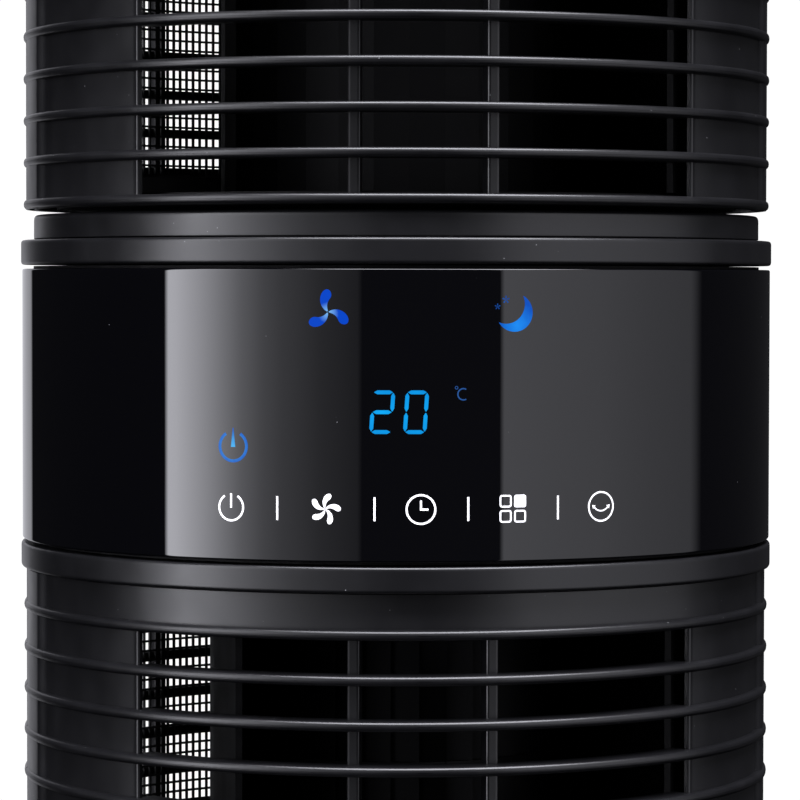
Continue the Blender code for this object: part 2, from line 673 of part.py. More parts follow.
# ---- base ----------------------------------------------------------------------------------
def base():
    collar_in = COLLAR_R - COLLAR_T
    top_low = BASE_TOP - TOP_PLATE_T
    wall = BASE_WALL
    outside = [(NECK_HOLE_R, BASE_TOP), (COLLAR_R - COLLAR_EDGE, BASE_TOP),
               (COLLAR_R, BASE_TOP - COLLAR_EDGE), (COLLAR_R, BASE_WAIST + WAIST_ROUND),
               (COLLAR_R + WAIST_ROUND, BASE_WAIST), (BASE_R - BASE_SLOPE_IN, BASE_SHOULDER),
               (BASE_R - BASE_ROUND[0], BASE_SHOULDER - BASE_ROUND[1]),
               (BASE_R, BASE_RIM_H), (BASE_R, BASE_EDGE_Z)]
    inside = [(BASE_R - wall, BASE_EDGE_Z), (BASE_R - wall, BASE_RIM_H - COVER_INSIDE[1]),
              (BASE_R - wall - COVER_INSIDE[0], BASE_SHOULDER - wall),
              (collar_in, BASE_WAIST - wall), (collar_in, top_low), (NECK_HOLE_R, top_low)]
    cover = lathe("base_cover", outside + inside, SATIN, 40)
    plate_top = FLOOR_PLATE_Z + FLOOR_PLATE_T
    screws = circle_points(BASE_R - SCREW_RING, SCREW_COUNT, math.pi / 4)
    for i, spot in enumerate(screws):
        boss = rod(f"cover_boss_{i}", BOSS_R, plate_top + FIT, BASE_SHOULDER + BOSS_JOIN, None, 10,
                   CUTTERS, None, spot)
        combine(cover, boss, 'UNION')
    for i, spot in enumerate(screws):
        hole = rod(f"cover_pilot_{i}", SCREW_R + FIT, plate_top - CUT_OVER, BASE_RIM_H, None, 8,
                   CUTTERS, None, spot)
        combine(cover, hole, 'DIFFERENCE')
    inlet = rod("inlet_hole", INLET_R + FIT, -INLET_LENGTH, INLET_LENGTH, None, 16, CUTTERS)
    inlet.rotation_euler = (math.pi / 2, 0.0, 0.0)
    inlet.location = (0.0, BASE_R, INLET_Z)
    combine(cover, inlet, 'DIFFERENCE')
    floor = ring("base_plate", POST_BORE, BASE_R - wall - FIT, FLOOR_PLATE_Z, plate_top, SATIN, 40)
    for i, spot in enumerate(screws):
        hole = rod(f"plate_hole_{i}", SCREW_R + FIT, FLOOR_PLATE_Z - CUT_OVER,
                   plate_top + CUT_OVER, None, 8, CUTTERS, None, spot)
        combine(floor, hole, 'DIFFERENCE')
        x, y = spot
        seat = FLOOR_PLATE_Z - FIT
        low = seat - SCREW_HEAD_T
        tip = low + SCREW_LENGTH
        profile = [(0.0, tip + SCREW_POINT), (SCREW_R, tip), (SCREW_R, seat),
                   (SCREW_HEAD_R, seat), (SCREW_HEAD_R, low + SCREW_CHAMFER),
                   (SCREW_HEAD_R - SCREW_CHAMFER, low), (0.0, low)]
        lathe(f"base_screw_{i + 1}", profile, STEEL, 8, closed=False, location=(x, y, 0.0))
    feet = circle_points(BASE_R - FOOT_RING, FOOT_COUNT, math.pi / FOOT_COUNT)
    for i, (x, y) in enumerate(feet):
        profile = [(0.0, FLOOR_PLATE_Z - FIT), (FOOT_R, FLOOR_PLATE_Z - FIT),
                   (FOOT_R, FOOT_CHAMFER), (FOOT_R - FOOT_CHAMFER, 0.0), (0.0, 0.0)]
        lathe(f"rubber_foot_{i + 1}", profile, RUBBER, 12, closed=False, location=(x, y, 0.0))
    ballast_z = plate_top + FIT
    ring("ballast_ring", BALLAST_IN, BASE_R - BALLAST_RING, ballast_z, ballast_z + BALLAST_T,
         CAST, 32)
    board_z = ballast_z + BALLAST_T + FIT + POWER_BOARD[2] / 2
    board = box("power_board", POWER_BOARD, BOARD, location=(0.0, POWER_BOARD_Y, board_z))
    for i, (x, size) in enumerate(POWER_BLOCKS):
        block = box(f"board_block_{i}", (size, size, POWER_BLOCK_H), None, CUTTERS,
                    location=(x, POWER_BOARD_Y, board_z + POWER_BLOCK_H / 2))
        combine(board, block, 'UNION')
    grommet = ring("cord_inlet_grommet", INLET_BORE, INLET_R, 0.0, INLET_LENGTH, RUBBER, 16)
    grommet.rotation_euler = (math.pi / 2, 0.0, 0.0)
    grommet.location = (0.0, BASE_R - FIT, INLET_Z)
    fixed_swivel("base", plate_top + FIT, LOWER_Z)


# ---- control band and neck -------------------------------------------------------------------
def control_band():
    core_out = BAND_R - LENS_T - FIT
    core_in = core_out - CORE_T
    core_low = LOWER_TOP + FIT
    core_high = NECK_FLANGE_Z - FIT
    middle = BAND_Z + BAND_H / 2
    ring("band_panel", BAND_R - LENS_T, BAND_R, BAND_Z, BAND_Z + BAND_H, GLOSS, 60)
    core = ring("band_chassis", core_in, core_out, core_low, core_high, DARK, CORE_STEPS)
    display_z = middle + DISPLAY_LIFT
    opening = (DISPLAY_W + 2 * WINDOW_MARGIN, 2 * DISPLAY_D, DISPLAY_H + 2 * WINDOW_MARGIN)
    window = box("display_window_cut", opening, None, CUTTERS,
                 location=(0.0, -core_out, display_z))
    combine(core, window, 'DIFFERENCE')
    board_y = BOARD_IN - core_in
    corner_r = core_in * math.cos(math.pi / CORE_STEPS) - BOARD_GAP
    board_w = 2 * math.sqrt(corner_r ** 2 - (board_y - BOARD_T / 2) ** 2)
    box("control_board", (board_w, BOARD_T, BOARD_H), BOARD, location=(0.0, board_y, middle))
    display_y = board_y - BOARD_T / 2 - FIT - DISPLAY_D / 2
    box("display_module", (DISPLAY_W, DISPLAY_D, DISPLAY_H), GLASS,
        location=(0.0, display_y, display_z))
    radius = core_in - FIT - STRIP_T
    strip = []
    half = STRIP_WIDTH / 2 / radius
    steps = 10
    for i in range(steps + 1):
        turn = -math.pi / 2 - half + 2 * half * i / steps
        strip.append((radius * math.cos(turn), radius * math.sin(turn)))
    strip_z = middle - STRIP_DROP
    sheet("touch_sensor_strip", strip, strip_z - STRIP_H / 2, strip_z + STRIP_H / 2, STRIP_T,
          BOARD)


def neck():
    low = NECK_FLANGE_Z
    high = low + FLANGE_H
    edge = FLANGE_EDGE
    land = FLANGE_R - FLANGE_LAND
    profile = [(FLANGE_R - edge, high), (FLANGE_R, high - edge), (FLANGE_R, low + edge),
               (FLANGE_R - edge, low), (POST_BORE, low), (POST_BORE, low + PLATE_T),
               (land, low + PLATE_T), (land, high)]
    lathe("neck_flange", profile, SATIN, 44)
    top_low = NECK_TOP - TOP_PLATE_T
    inner = COLLAR_R - COLLAR_T
    collar = [(NECK_HOLE_R, NECK_TOP), (COLLAR_R - COLLAR_EDGE, NECK_TOP),
              (COLLAR_R, NECK_TOP - COLLAR_EDGE), (COLLAR_R, high + FIT), (inner, high + FIT),
              (inner, top_low), (NECK_HOLE_R, top_low)]
    lathe("neck_collar", collar, SATIN, 44)
    fixed_swivel("neck", low + PLATE_T + FIT, UPPER_Z)


def top_cap():
    low = UPPER_TOP + FIT
    high = low + CAP_H
    crown = [(CAP_R - inset, high - drop) for inset, drop in CAP_CROWN]
    profile = [(0.0, high)] + crown + [(CAP_R, low), (0.0, low)]
    cap = lathe("top_cap", profile, GLOSS, 44, closed=False)
    cap.parent = bpy.data.objects["upper_head_axis"]
    cap.location.z = -UPPER_Z


def main():
    base()
    fan_head("lower", LOWER_Z, "band_lower_flange")
    control_band()
    neck()
    fan_head("upper", UPPER_Z, "upper_top_flange")
    top_cap()


main()
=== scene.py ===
"""Looks of a two-section tower fan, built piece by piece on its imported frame.

Run as a script it makes every piece, finish, light and the camera. Registered in Blender it puts
the same steps in a sidebar panel, one button for each group of pieces. Metres, +Z up, front to -Y.
"""

import json
import math

import bmesh
import bpy
import numpy as np
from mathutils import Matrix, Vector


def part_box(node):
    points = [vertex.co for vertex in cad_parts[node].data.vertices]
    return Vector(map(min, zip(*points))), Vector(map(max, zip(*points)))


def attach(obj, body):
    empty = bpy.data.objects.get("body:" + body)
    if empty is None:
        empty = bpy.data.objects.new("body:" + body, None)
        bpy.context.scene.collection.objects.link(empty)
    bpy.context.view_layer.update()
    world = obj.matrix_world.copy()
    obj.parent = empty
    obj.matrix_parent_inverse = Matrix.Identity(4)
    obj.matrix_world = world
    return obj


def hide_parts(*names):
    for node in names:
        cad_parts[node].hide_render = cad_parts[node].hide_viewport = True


bl_info = {
    "name": "Tower Fan Looks",
    "version": (1, 0, 0),
    "blender": (4, 5, 0),
    "location": "3D View > Sidebar > Tower Fan",
    "description": "Builds the visible pieces, finishes and studio of a two-section tower fan",
    "category": "Object",
}

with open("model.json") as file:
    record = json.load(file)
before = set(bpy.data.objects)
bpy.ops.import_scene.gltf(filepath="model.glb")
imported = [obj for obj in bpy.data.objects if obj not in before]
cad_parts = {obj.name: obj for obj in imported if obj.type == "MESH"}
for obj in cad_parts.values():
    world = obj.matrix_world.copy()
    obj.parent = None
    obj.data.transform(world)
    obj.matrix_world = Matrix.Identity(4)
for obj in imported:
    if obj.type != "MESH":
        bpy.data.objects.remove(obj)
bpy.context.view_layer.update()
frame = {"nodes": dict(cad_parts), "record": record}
NODES = frame["nodes"]
HEADS = {"lower": "tower", "upper": "upper_head"}
MM = 0.001

BAND_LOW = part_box("band_panel")[0].z
BAND_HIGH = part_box("band_panel")[1].z
BAND_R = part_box("band_panel")[1].x
FLANGE_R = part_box("neck_flange")[1].x
RIB_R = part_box("lower_rear_grille")[1].x


# ---- colours, shapes and meshes --------------------------------------------------------------
def linear(code):
    """Linear RGB of an sRGB hex colour."""
    value = np.array([int(code[i:i + 2], 16) for i in (1, 3, 5)]) / 255
    return tuple(np.where(value <= 0.04045, value / 12.92, ((value + 0.055) / 1.055) ** 2.4))


def on_cylinder(radius, degrees, height):
    """Points on a cylinder about Z: x = r sin a, y = -r cos a, z = h; angle 0 faces the front."""
    turn = np.radians(degrees)
    return np.stack(np.broadcast_arrays(radius * np.sin(turn), -radius * np.cos(turn), height), -1)


def rounded(corners, radii, steps=5):
    """Closed outline with rounded corners. At share s a corner C runs through
    (1-s)^2 A + 2 s (1-s) C + s^2 B, where A and B lie one radius before and after it, and a
    point just outside each arc keeps the flat beside it flat."""
    c = np.array(corners, float)
    reach = np.broadcast_to(np.array(radii, float), len(c))[:, None]
    before, after = np.roll(c, 1, 0) - c, np.roll(c, -1, 0) - c
    a = c + before / np.linalg.norm(before, axis=1, keepdims=True) * reach
    b = c + after / np.linalg.norm(after, axis=1, keepdims=True) * reach
    s = np.linspace(0, 1, steps)[None, :, None]
    curve = (1 - s) ** 2 * a[:, None] + 2 * s * (1 - s) * c[:, None] + s ** 2 * b[:, None]
    hold = 0.00012 * (reach > 0)
    a += before / np.linalg.norm(before, axis=1, keepdims=True) * hold
    b += after / np.linalg.norm(after, axis=1, keepdims=True) * hold
    return np.concatenate([a[:, None], curve, b[:, None]], 1).reshape(-1, 2)


def skin(grid, ring=False):
    """Closed skin over a grid whose rows are closed loops. Row i joins row i+1; with ring the last
    joins the first, and without it each end is closed by a ladder of quads across its loop."""
    rows, cols = grid.shape[:2]
    index = np.arange(rows * cols).reshape(rows, cols)
    low, high = (index, np.roll(index, -1, 0)) if ring else (index[:-1], index[1:])
    faces = [np.stack([low, np.roll(low, -1, 1), np.roll(high, -1, 1), high], -1).reshape(-1, 4)]
    if not ring:
        k = np.arange(cols // 2 - 1)
        ladder = np.stack([k, k + 1, cols - 2 - k, cols - 1 - k], -1)
        faces += [ladder[:, ::-1], ladder + (rows - 1) * cols]
    return grid.reshape(-1, 3), np.concatenate(faces)


def joined(parts):
    """Several skins as one, each keeping its own closed surface."""
    starts = np.cumsum([0] + [len(points) for points, _ in parts[:-1]])
    return (np.concatenate([points for points, _ in parts]),
            np.concatenate([faces + start for (_, faces), start in zip(parts, starts)]))


def repeated(part, shifts):
    """A skin copied by each shift: point p of copy n is p + shift n."""
    points, faces = part
    shifts = np.asarray(shifts, float)
    moved = points[None] + shifts[:, None]
    index = faces[None] + (np.arange(len(shifts)) * len(points))[:, None, None]
    return moved.reshape(-1, 3), index.reshape(-1, 4)


def lifted(part, heights):
    """A skin repeated at each height."""
    heights = np.asarray(heights, float)
    return repeated(part, np.stack([0 * heights, 0 * heights, heights], -1))


def lathed(outline, steps=256):
    """Outline of (radius, height) turned once about Z: x = r sin a, y = -r cos a."""
    angles = np.linspace(0, 360, steps, endpoint=False)[:, None]
    return skin(on_cylinder(outline[None, :, 0], angles, outline[None, :, 1]), ring=True)


def upright(plan, low, high):
    """Plan outline of (x, y) carried straight up from one height to the other."""
    levels = np.array([low, high])[:, None]
    flat = np.broadcast_to(plan[None], (2, *plan.shape))
    return skin(np.concatenate([flat, np.broadcast_to(levels[:, :, None], (2, len(plan), 1))], -1))


def piece(name, part, finish, body, replaces=(), crease=32.0):
    """Mesh object from a skin, welded and facing outwards, tied to its body and its finish."""
    points, faces = part
    mesh = bpy.data.meshes.new(name)
    mesh.vertices.add(len(points))
    mesh.vertices.foreach_set("co", points.astype(np.float32).ravel())
    mesh.loops.add(faces.size)
    mesh.loops.foreach_set("vertex_index", faces.astype(np.int32).ravel())
    mesh.polygons.add(len(faces))
    mesh.polygons.foreach_set("loop_start", np.arange(0, faces.size, 4, dtype=np.int32))
    mesh.update(calc_edges=True)
    shape = bmesh.new()
    shape.from_mesh(mesh)
    bmesh.ops.remove_doubles(shape, verts=shape.verts, dist=0.000002)
    bmesh.ops.recalc_face_normals(shape, faces=shape.faces)
    shape.to_mesh(mesh)
    shape.free()
    mesh.shade_smooth()
    mesh.set_sharp_from_angle(angle=math.radians(crease))
    mesh.materials.append(finish)
    made = bpy.data.objects.new(name, mesh)
    bpy.context.scene.collection.objects.link(made)
    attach(made, body)
    if replaces:
        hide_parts(*replaces)
    return made


# ---- finishes --------------------------------------------------------------------------------
def node(tree, kind, *values, out=0, **named):
    """Adds a node and returns one output. Values fill its inputs in order, a name such as i6 or
    Height is one input, and the other names are the node's settings. A socket gets a link."""
    made = tree.nodes.new("ShaderNode" + kind)
    inputs = dict(enumerate(values))
    for name, value in named.items():
        if name[1:].isdigit() or name[0].isupper():
            inputs[int(name[1:]) if name[1:].isdigit() else name] = value
        else:
            setattr(made, name, value)
    for key, value in inputs.items():
        if isinstance(value, bpy.types.NodeSocket):
            tree.links.new(value, made.inputs[key])
        else:
            made.inputs[key].default_value = value
    return made.outputs[out] if made.outputs else made


def blank(name, **constants):
    """New material: its tree, its shader's inputs with their constants, and Object coordinates."""
    made = bpy.data.materials.new(name)
    made.use_nodes = True
    tree = made.node_tree
    tree.nodes.clear()
    shader = node(tree, "BsdfPrincipled")
    node(tree, "OutputMaterial", shader)
    for key, value in constants.items():
        shader.node.inputs[key.replace("_", " ")].default_value = value
    return made, tree, shader.node.inputs, node(tree, "TexCoord", out="Object")


def paint(code, share=1.0):
    """RGBA of an sRGB hex colour, darkened or lightened by a share."""
    return (*[share * c for c in linear(code)], 1.0)


def grains(tree, place, size_mm, detail=3.0, stretch=(1.0, 1.0, 1.0)):
    """Random pattern with grains about size_mm across, drawn out along the stretched axes."""
    scale = [1 / (size_mm * MM * part) for part in stretch]
    moved = node(tree, "VectorMath", place, scale, operation="MULTIPLY")
    return node(tree, "TexNoise", moved, Scale=1.0, Detail=detail)


def dust(tree, place, spacing_mm, size_mm):
    """Share of dust: one speck at most in each cell of the spacing, and none in most cells."""
    distance = node(tree, "TexVoronoi", place, Scale=1 / (spacing_mm * MM))
    reach = size_mm / spacing_mm
    near = node(tree, "MapRange", distance, reach, 0.4 * reach, 0.0, 1.0)
    luck = node(tree, "SeparateColor", distance.node.outputs["Color"])
    kept = node(tree, "Math", luck, 0.80, operation="GREATER_THAN")
    return node(tree, "Math", near, kept, operation="MULTIPLY")


def moulded_plastic(name, colour, dusty, roughness, grain_mm=0.28, relief=0.006, specks=True,
                    shine=0.5):
    """Moulded plastic: the fine spark-eroded grain of its tool breaks the highlight up slightly,
    handling leaves smoother and duller patches, and a little pale dust lies on it."""
    made, tree, shader, place = blank(name, IOR=1.54, Specular_IOR_Level=shine)
    patches = grains(tree, place, 14.0, 4.0)
    share = node(tree, "MapRange", patches, 0.35, 0.7, 0.0, 1.0)
    tone = node(tree, "Mix", share, i6=paint(colour), i7=paint(colour, 1.35), data_type="RGBA",
                out=2)
    if specks:
        tone = node(tree, "Mix", dust(tree, place, 2.6, 0.16), i6=tone, i7=paint(dusty),
                    data_type="RGBA", out=2)
    rough = node(tree, "MapRange", patches, 0.3, 0.7, roughness - 0.035, roughness + 0.035)
    bump = node(tree, "Bump", Height=grains(tree, place, grain_mm, 2.0), Strength=relief * 10,
                Distance=0.01 * MM)
    tree.links.new(tone, shader["Base Color"])
    tree.links.new(rough, shader["Roughness"])
    tree.links.new(bump, shader["Normal"])
    return made


def polished_acrylic(name, colour, dusty):
    """Polished black acrylic: a mirror-like face with upright hairlines from wiping and a few
    specks of dust. Hairlines are drawn 0.35 mm wide so that they show."""
    made, tree, shader, place = blank(name, IOR=1.49)
    hair = grains(tree, place, 0.35, 2.0, (1.0, 1.0, 40.0))
    tone = node(tree, "Mix", dust(tree, place, 4.0, 0.13), i6=paint(colour), i7=paint(dusty),
                data_type="RGBA", out=2)
    tree.links.new(tone, shader["Base Color"])
    tree.links.new(node(tree, "MapRange", hair, 0.5, 0.8, 0.012, 0.035), shader["Roughness"])
    tree.links.new(node(tree, "Bump", Height=hair, Strength=0.05, Distance=0.004 * MM),
                   shader["Normal"])
    return made


def plain_metal(name, colour, roughness, grain_mm):
    """Bare or plated metal: bright, with the fine grain of its turning or casting."""
    made, tree, shader, place = blank(name, Metallic=1.0)
    grain = grains(tree, place, grain_mm, 4.0)
    tone = node(tree, "Mix", grain, i6=paint(colour, 0.75), i7=paint(colour), data_type="RGBA",
                out=2)
    tree.links.new(tone, shader["Base Color"])
    tree.links.new(node(tree, "MapRange", grain, 0.3, 0.7, roughness - 0.06, roughness + 0.08),
                   shader["Roughness"])
    return made


def moulded_rubber(name, colour):
    """Moulded rubber: almost without shine, paler where it has bloomed and picked up dust."""
    made, tree, shader, place = blank(name)
    bloom = grains(tree, place, 5.0, 5.0)
    share = node(tree, "MapRange", bloom, 0.45, 0.75, 0.0, 1.0)
    tone = node(tree, "Mix", share, i6=paint(colour), i7=paint("#2c2c2c"), data_type="RGBA",
                out=2)
    tree.links.new(tone, shader["Base Color"])
    tree.links.new(node(tree, "MapRange", bloom, 0.3, 0.7, 0.74, 0.9), shader["Roughness"])
    tree.links.new(node(tree, "Bump", Height=grains(tree, place, 0.5), Strength=0.3,
                        Distance=0.03 * MM), shader["Normal"])
    return made


def circuit_board(name, colour):
    """Fibreglass board under green lacquer: copper tracks show as paler lines 1.3 mm apart."""
    made, tree, shader, place = blank(name)
    tracks = node(tree, "TexWave", place, Scale=1 / (1.3 * MM) / 6.283, Distortion=3.0,
                  Detail=1.0, wave_profile="SIN", out="Fac")
    share = node(tree, "MapRange", tracks, 0.7, 0.8, 0.0, 1.0)
    tone = node(tree, "Mix", share, i6=paint(colour), i7=paint("#2f8a4c"), data_type="RGBA",
                out=2)
    tree.links.new(tone, shader["Base Color"])
    tree.links.new(node(tree, "MapRange", grains(tree, place, 3.0), 0.3, 0.7, 0.28, 0.42),
                   shader["Roughness"])
    return made


def glowing_print(name, colour, strength):
    """Ink with a painted glow that keeps it bright; its tone wavers slightly where the ink is
    thicker.
    """
    made, tree, shader, place = blank(name, Emission_Strength=strength, Roughness=0.35)
    ink = grains(tree, place, 0.6, 2.0)
    # The emission colour carries the painted glow, and the base colour carries the ink's own tone.
    for key, thin in (("Base Color", 0.9), ("Emission Color", 0.94)):
        tone = node(tree, "Mix", ink, i6=paint(colour, thin), i7=paint(colour), data_type="RGBA",
                    out=2)
        tree.links.new(tone, shader[key])
    return made


def lit_glyph(name, bright, deep, centre, reach_mm, strength):
    """Light from a diode behind a dark window: brightest over the diode, at the centre given as
    (x, y, z), and deeper in colour away from it."""
    made, tree, shader, place = blank(name, Base_Color=(0.0, 0.0, 0.0, 1.0), Roughness=0.3,
                                      Emission_Strength=strength, Specular_IOR_Level=0.08)
    gap = node(tree, "VectorMath", place, centre, operation="DISTANCE", out="Value")
    near = node(tree, "MapRange", gap, 0.0, reach_mm * MM, 0.0, 1.0)
    share = node(tree, "Math", grains(tree, place, 1.5, 2.0), 0.3, near, use_clamp=True,
                 operation="MULTIPLY_ADD")
    tone = node(tree, "Mix", share, i6=paint(bright), i7=paint(deep), data_type="RGBA", out=2)
    tree.links.new(tone, shader["Emission Color"])
    return made


def finish(name):
    """The named finish, made once from the chosen colours and then shared."""
    if name in bpy.data.materials:
        return bpy.data.materials[name]
    chosen = bpy.context.scene.tower_fan.finishes
    maker, *values = {
        "satin_moulded_abs": (moulded_plastic, "#0d0d0f", "#8a8a8c", chosen.satin_roughness, 0.28,
                              0.006, True, 0.40),
        "matt_moulded_polypropylene": (moulded_plastic, "#050506", "#303032", 0.62, 0.5, 0.03,
                                       True, 0.15),
        "coated_steel_mesh": (moulded_plastic, "#08080a", "#202022", 0.6, 0.4, 0.02, False),
        "polished_black_acrylic": (polished_acrylic, "#030305", chosen.dust),
        "moulded_rubber": (moulded_rubber, "#111111"),
        "zinc_plated_steel": (plain_metal, "#b9bcc0", 0.34, 0.6),
        "cast_iron": (plain_metal, "#4c4c4e", 0.68, 0.9),
        "sintered_bronze": (plain_metal, "#a87840", 0.5, 0.4),
        "natural_nylon": (moulded_plastic, "#cfcabb", "#a8a392", 0.45, 0.4, 0.02, False),
        "green_circuit_board": (circuit_board, "#12502c"),
        "smoked_display_window": (polished_acrylic, "#05070e", chosen.dust),
    }[name]
    return maker(name, *values)


SLOT_FINISH = {
    "satin_black_plastic": "satin_moulded_abs",
    "gloss_black_plastic": "polished_black_acrylic",
    "dark_grey_plastic": "matt_moulded_polypropylene",
    "black_rubber": "moulded_rubber",
    "zinc_plated_steel": "zinc_plated_steel",
    "ballast_iron": "cast_iron",
    "natural_nylon": "natural_nylon",
    "sintered_bronze": "sintered_bronze",
    "green_board": "green_circuit_board",
    "display_window": "smoked_display_window",
}


# ---- sizes and colours that a user may change --------------------------------------------------
def length(name, description, millimetres):
    return bpy.props.FloatProperty(name=name, description=description, default=millimetres * MM,
                                   min=0.0, precision=5, subtype='DISTANCE', unit='LENGTH')


def degrees(name, description, value):
    return bpy.props.FloatProperty(name=name, description=description, subtype='ANGLE',
                                   default=math.radians(value), unit='ROTATION')


def amount(name, description, value, low=0.0, high=100.0):
    return bpy.props.FloatProperty(name=name, description=description, default=value, min=low,
                                   max=high)


def colour(name, description, code):
    return bpy.props.StringProperty(name=name, description=description, default=code)


class GrilleSizes(bpy.types.PropertyGroup):
    pitch: length("Rib pitch", "From one rib to the next", 10.5)
    thickness: length("Rib thickness", "Height of a rib", 2.4)
    depth: length("Rib depth", "Depth of a rib across the air opening", 7.0)
    nose: length("Rib nose", "Rounding of a rib's front edge", 1.15)
    wall_inset: length("Wall inset", "Side wall behind the rib noses", 2.0)
    strip_inset: length("Strip inset", "Raised side strip behind the rib noses", 0.6)
    wall_thickness: length("Wall thickness", "Thickness of the side walls", 2.5)
    lip: length("Lip thickness", "Thickness of the side walls at the air opening", 0.9)
    opening: degrees("Opening", "Half angle of the air opening", 45.0)
    step_start: degrees("Step start", "Where the side wall starts to rise", 72.0)
    step_end: degrees("Step end", "Where the raised side strip starts", 74.8)
    span: degrees("Front span", "Half angle of the front grille", 85.0)
    bar_angle: degrees("Bar angle", "Upright bars either side of the middle", 10.4)
    bar_width: length("Bar width", "Width of an upright bar", 2.9)
    bar_inset: length("Bar inset", "Bars behind the rib noses", 4.6)
    rear_bar_angle: degrees("Rear bar angle", "Outer upright bars of the rear grille", 40.5)
    rear_bar_width: length("Rear bar width", "Width of a rear bar", 3.6)
    rear_opening: degrees("Rear opening", "Half angle of the air intake", 60.0)


class MeshSizes(bpy.types.PropertyGroup):
    across: length("Hole pitch round", "From one hole to the next round the head", 2.15)
    up: length("Hole pitch up", "From one row of holes to the next", 2.625)
    web_across: length("Upright web", "Metal between two holes of a row", 0.52)
    web_up: length("Level web", "Metal between two rows", 0.56)
    thickness: length("Sheet thickness", "Thickness of the mesh", 0.7)


class WheelSizes(bpy.types.PropertyGroup):
    blades: bpy.props.IntProperty(name="Blades", description="Blades round the wheel", default=36,
                                  min=12, max=60)
    bays: bpy.props.IntProperty(name="Bays", description="Stacked bays of the wheel", default=8,
                                min=1, max=16)
    depth: length("Blade depth", "Blade width along the radius", 9.0)
    thickness: length("Blade thickness", "Thickness of a blade", 0.8)
    disc: length("Disc thickness", "Thickness of the discs between bays", 1.6)


class SymbolSizes(bpy.types.PropertyGroup):
    row: length("Button row", "Middle of the printed row above the band's lower edge", 12.3)
    stroke: length("Stroke", "Width of a printed line", 0.46)
    button: length("Button radius", "Radius of the printed symbols", 3.3)
    digit_height: length("Digit height", "Height of a lit digit", 10.0)
    digit_width: length("Digit width", "Width of a lit digit", 5.4)
    segment: length("Segment", "Width of a lit segment", 0.9)
    print_lift: length("Print thickness", "How far ink stands off the band", 0.04)


class FinishChoices(bpy.types.PropertyGroup):
    satin_roughness: amount("Satin roughness", "Roughness of the satin plastic", 0.34, 0.05, 1.0)
    dust: colour("Dust", "Colour of dust on the band, as sRGB hex", "#8c8c90")
    ink: colour("Ink", "Colour of the printed row, as sRGB hex", "#f2f1f5")
    lit: colour("Lit blue", "Colour of the lit digits, as sRGB hex", "#12b2ff")
    lit_deep: colour("Deep blue", "Colour of the digits' dimmer ends, as sRGB hex", "#0a86d8")
    lamp_deep: colour("Deep lamp blue", "Colour of the lit fan's blade tips, as sRGB hex",
                      "#0446c8")


class StudioChoices(bpy.types.PropertyGroup):
    left: amount("Left softbox", "Brightness of the left softbox", 9.0)
    right: amount("Right softbox", "Brightness of the right softbox", 1.5)
    top: amount("Top softbox", "Brightness of the overhead softbox", 18.0)
    back: amount("Backdrop", "Brightness of the backdrop as the fan sees it", 0.75)
    around: amount("Fill", "Brightness of the dark parts of the studio", 0.05)
    azimuth: degrees("Camera azimuth", "Where the camera stands round the fan", -4.2)


class TowerFanSettings(bpy.types.PropertyGroup):
    grille: bpy.props.PointerProperty(type=GrilleSizes, name="Grilles", description="Grille sizes")
    mesh: bpy.props.PointerProperty(type=MeshSizes, name="Mesh", description="Intake mesh sizes")
    wheel: bpy.props.PointerProperty(type=WheelSizes, name="Wheel", description="Blower sizes")
    symbols: bpy.props.PointerProperty(type=SymbolSizes, name="Symbols",
                                       description="Printed and lit symbols")
    finishes: bpy.props.PointerProperty(type=FinishChoices, name="Finishes",
                                        description="Colours and roughness")
    studio: bpy.props.PointerProperty(type=StudioChoices, name="Studio", description="Lights")


# ---- grilles -----------------------------------------------------------------------------------
def rib(angles, depths, size, facing=0.0):
    """One rib swept round the head. Its outline has a rounded nose at the rib radius; its inner
    edge follows the depths, so radius = nose radius - u for a point u behind the nose."""
    deep = 0.005
    outline = rounded([(deep, 0.0), (0.0, 0.0), (0.0, size.thickness), (deep, size.thickness)],
                      [0.0003, size.nose, size.nose, 0.0003])
    behind, height = outline[None, :, 0], outline[None, :, 1]
    inner = behind > deep / 2
    behind = np.where(inner, behind + depths[:, None] - deep, behind)
    return skin(on_cylinder(RIB_R - behind, angles[:, None] + facing, height))


def wall(angles, outer, inner, low, high, facing=0.0):
    """Upright wall whose plan runs out along one radius for each angle and back along another."""
    out = on_cylinder(outer, angles + facing, 0.0)[:, :2]
    back = on_cylinder(inner, angles + facing, 0.0)[::-1, :2]
    return upright(np.concatenate([out, back]), low, high)


def bar(angle, width, outer, inner, low, high, edge=0.0006):
    """Upright bar with rounded edges: a box section at one angle, carried straight up."""
    half = width / 2
    section = rounded([(-half, -inner), (-half, -outer), (half, -outer), (half, -inner)],
                      [0.0002, edge, edge, 0.0002], 4)
    turn = math.radians(angle)
    spin = np.array([[math.cos(turn), math.sin(turn)], [-math.sin(turn), math.cos(turn)]])
    return upright(section @ spin, low, high)


def side_wall_radii(angles, size):
    """Outer radius of the side wall: a bead at the opening, the wall, a smooth rise to the strip.
    The bead is a half wave, the rise is 3 s^2 - 2 s^3 across the step."""
    opening = math.degrees(size.opening)
    start, end = math.degrees(size.step_start), math.degrees(size.step_end)
    s = np.clip((angles - start) / (end - start), 0, 1)
    rise = (3 * s ** 2 - 2 * s ** 3) * (size.wall_inset - size.strip_inset)
    bead = 0.0004 * np.sin(np.pi * np.clip((angles - opening) / 0.7, 0, 1))
    return RIB_R - size.wall_inset + rise + bead


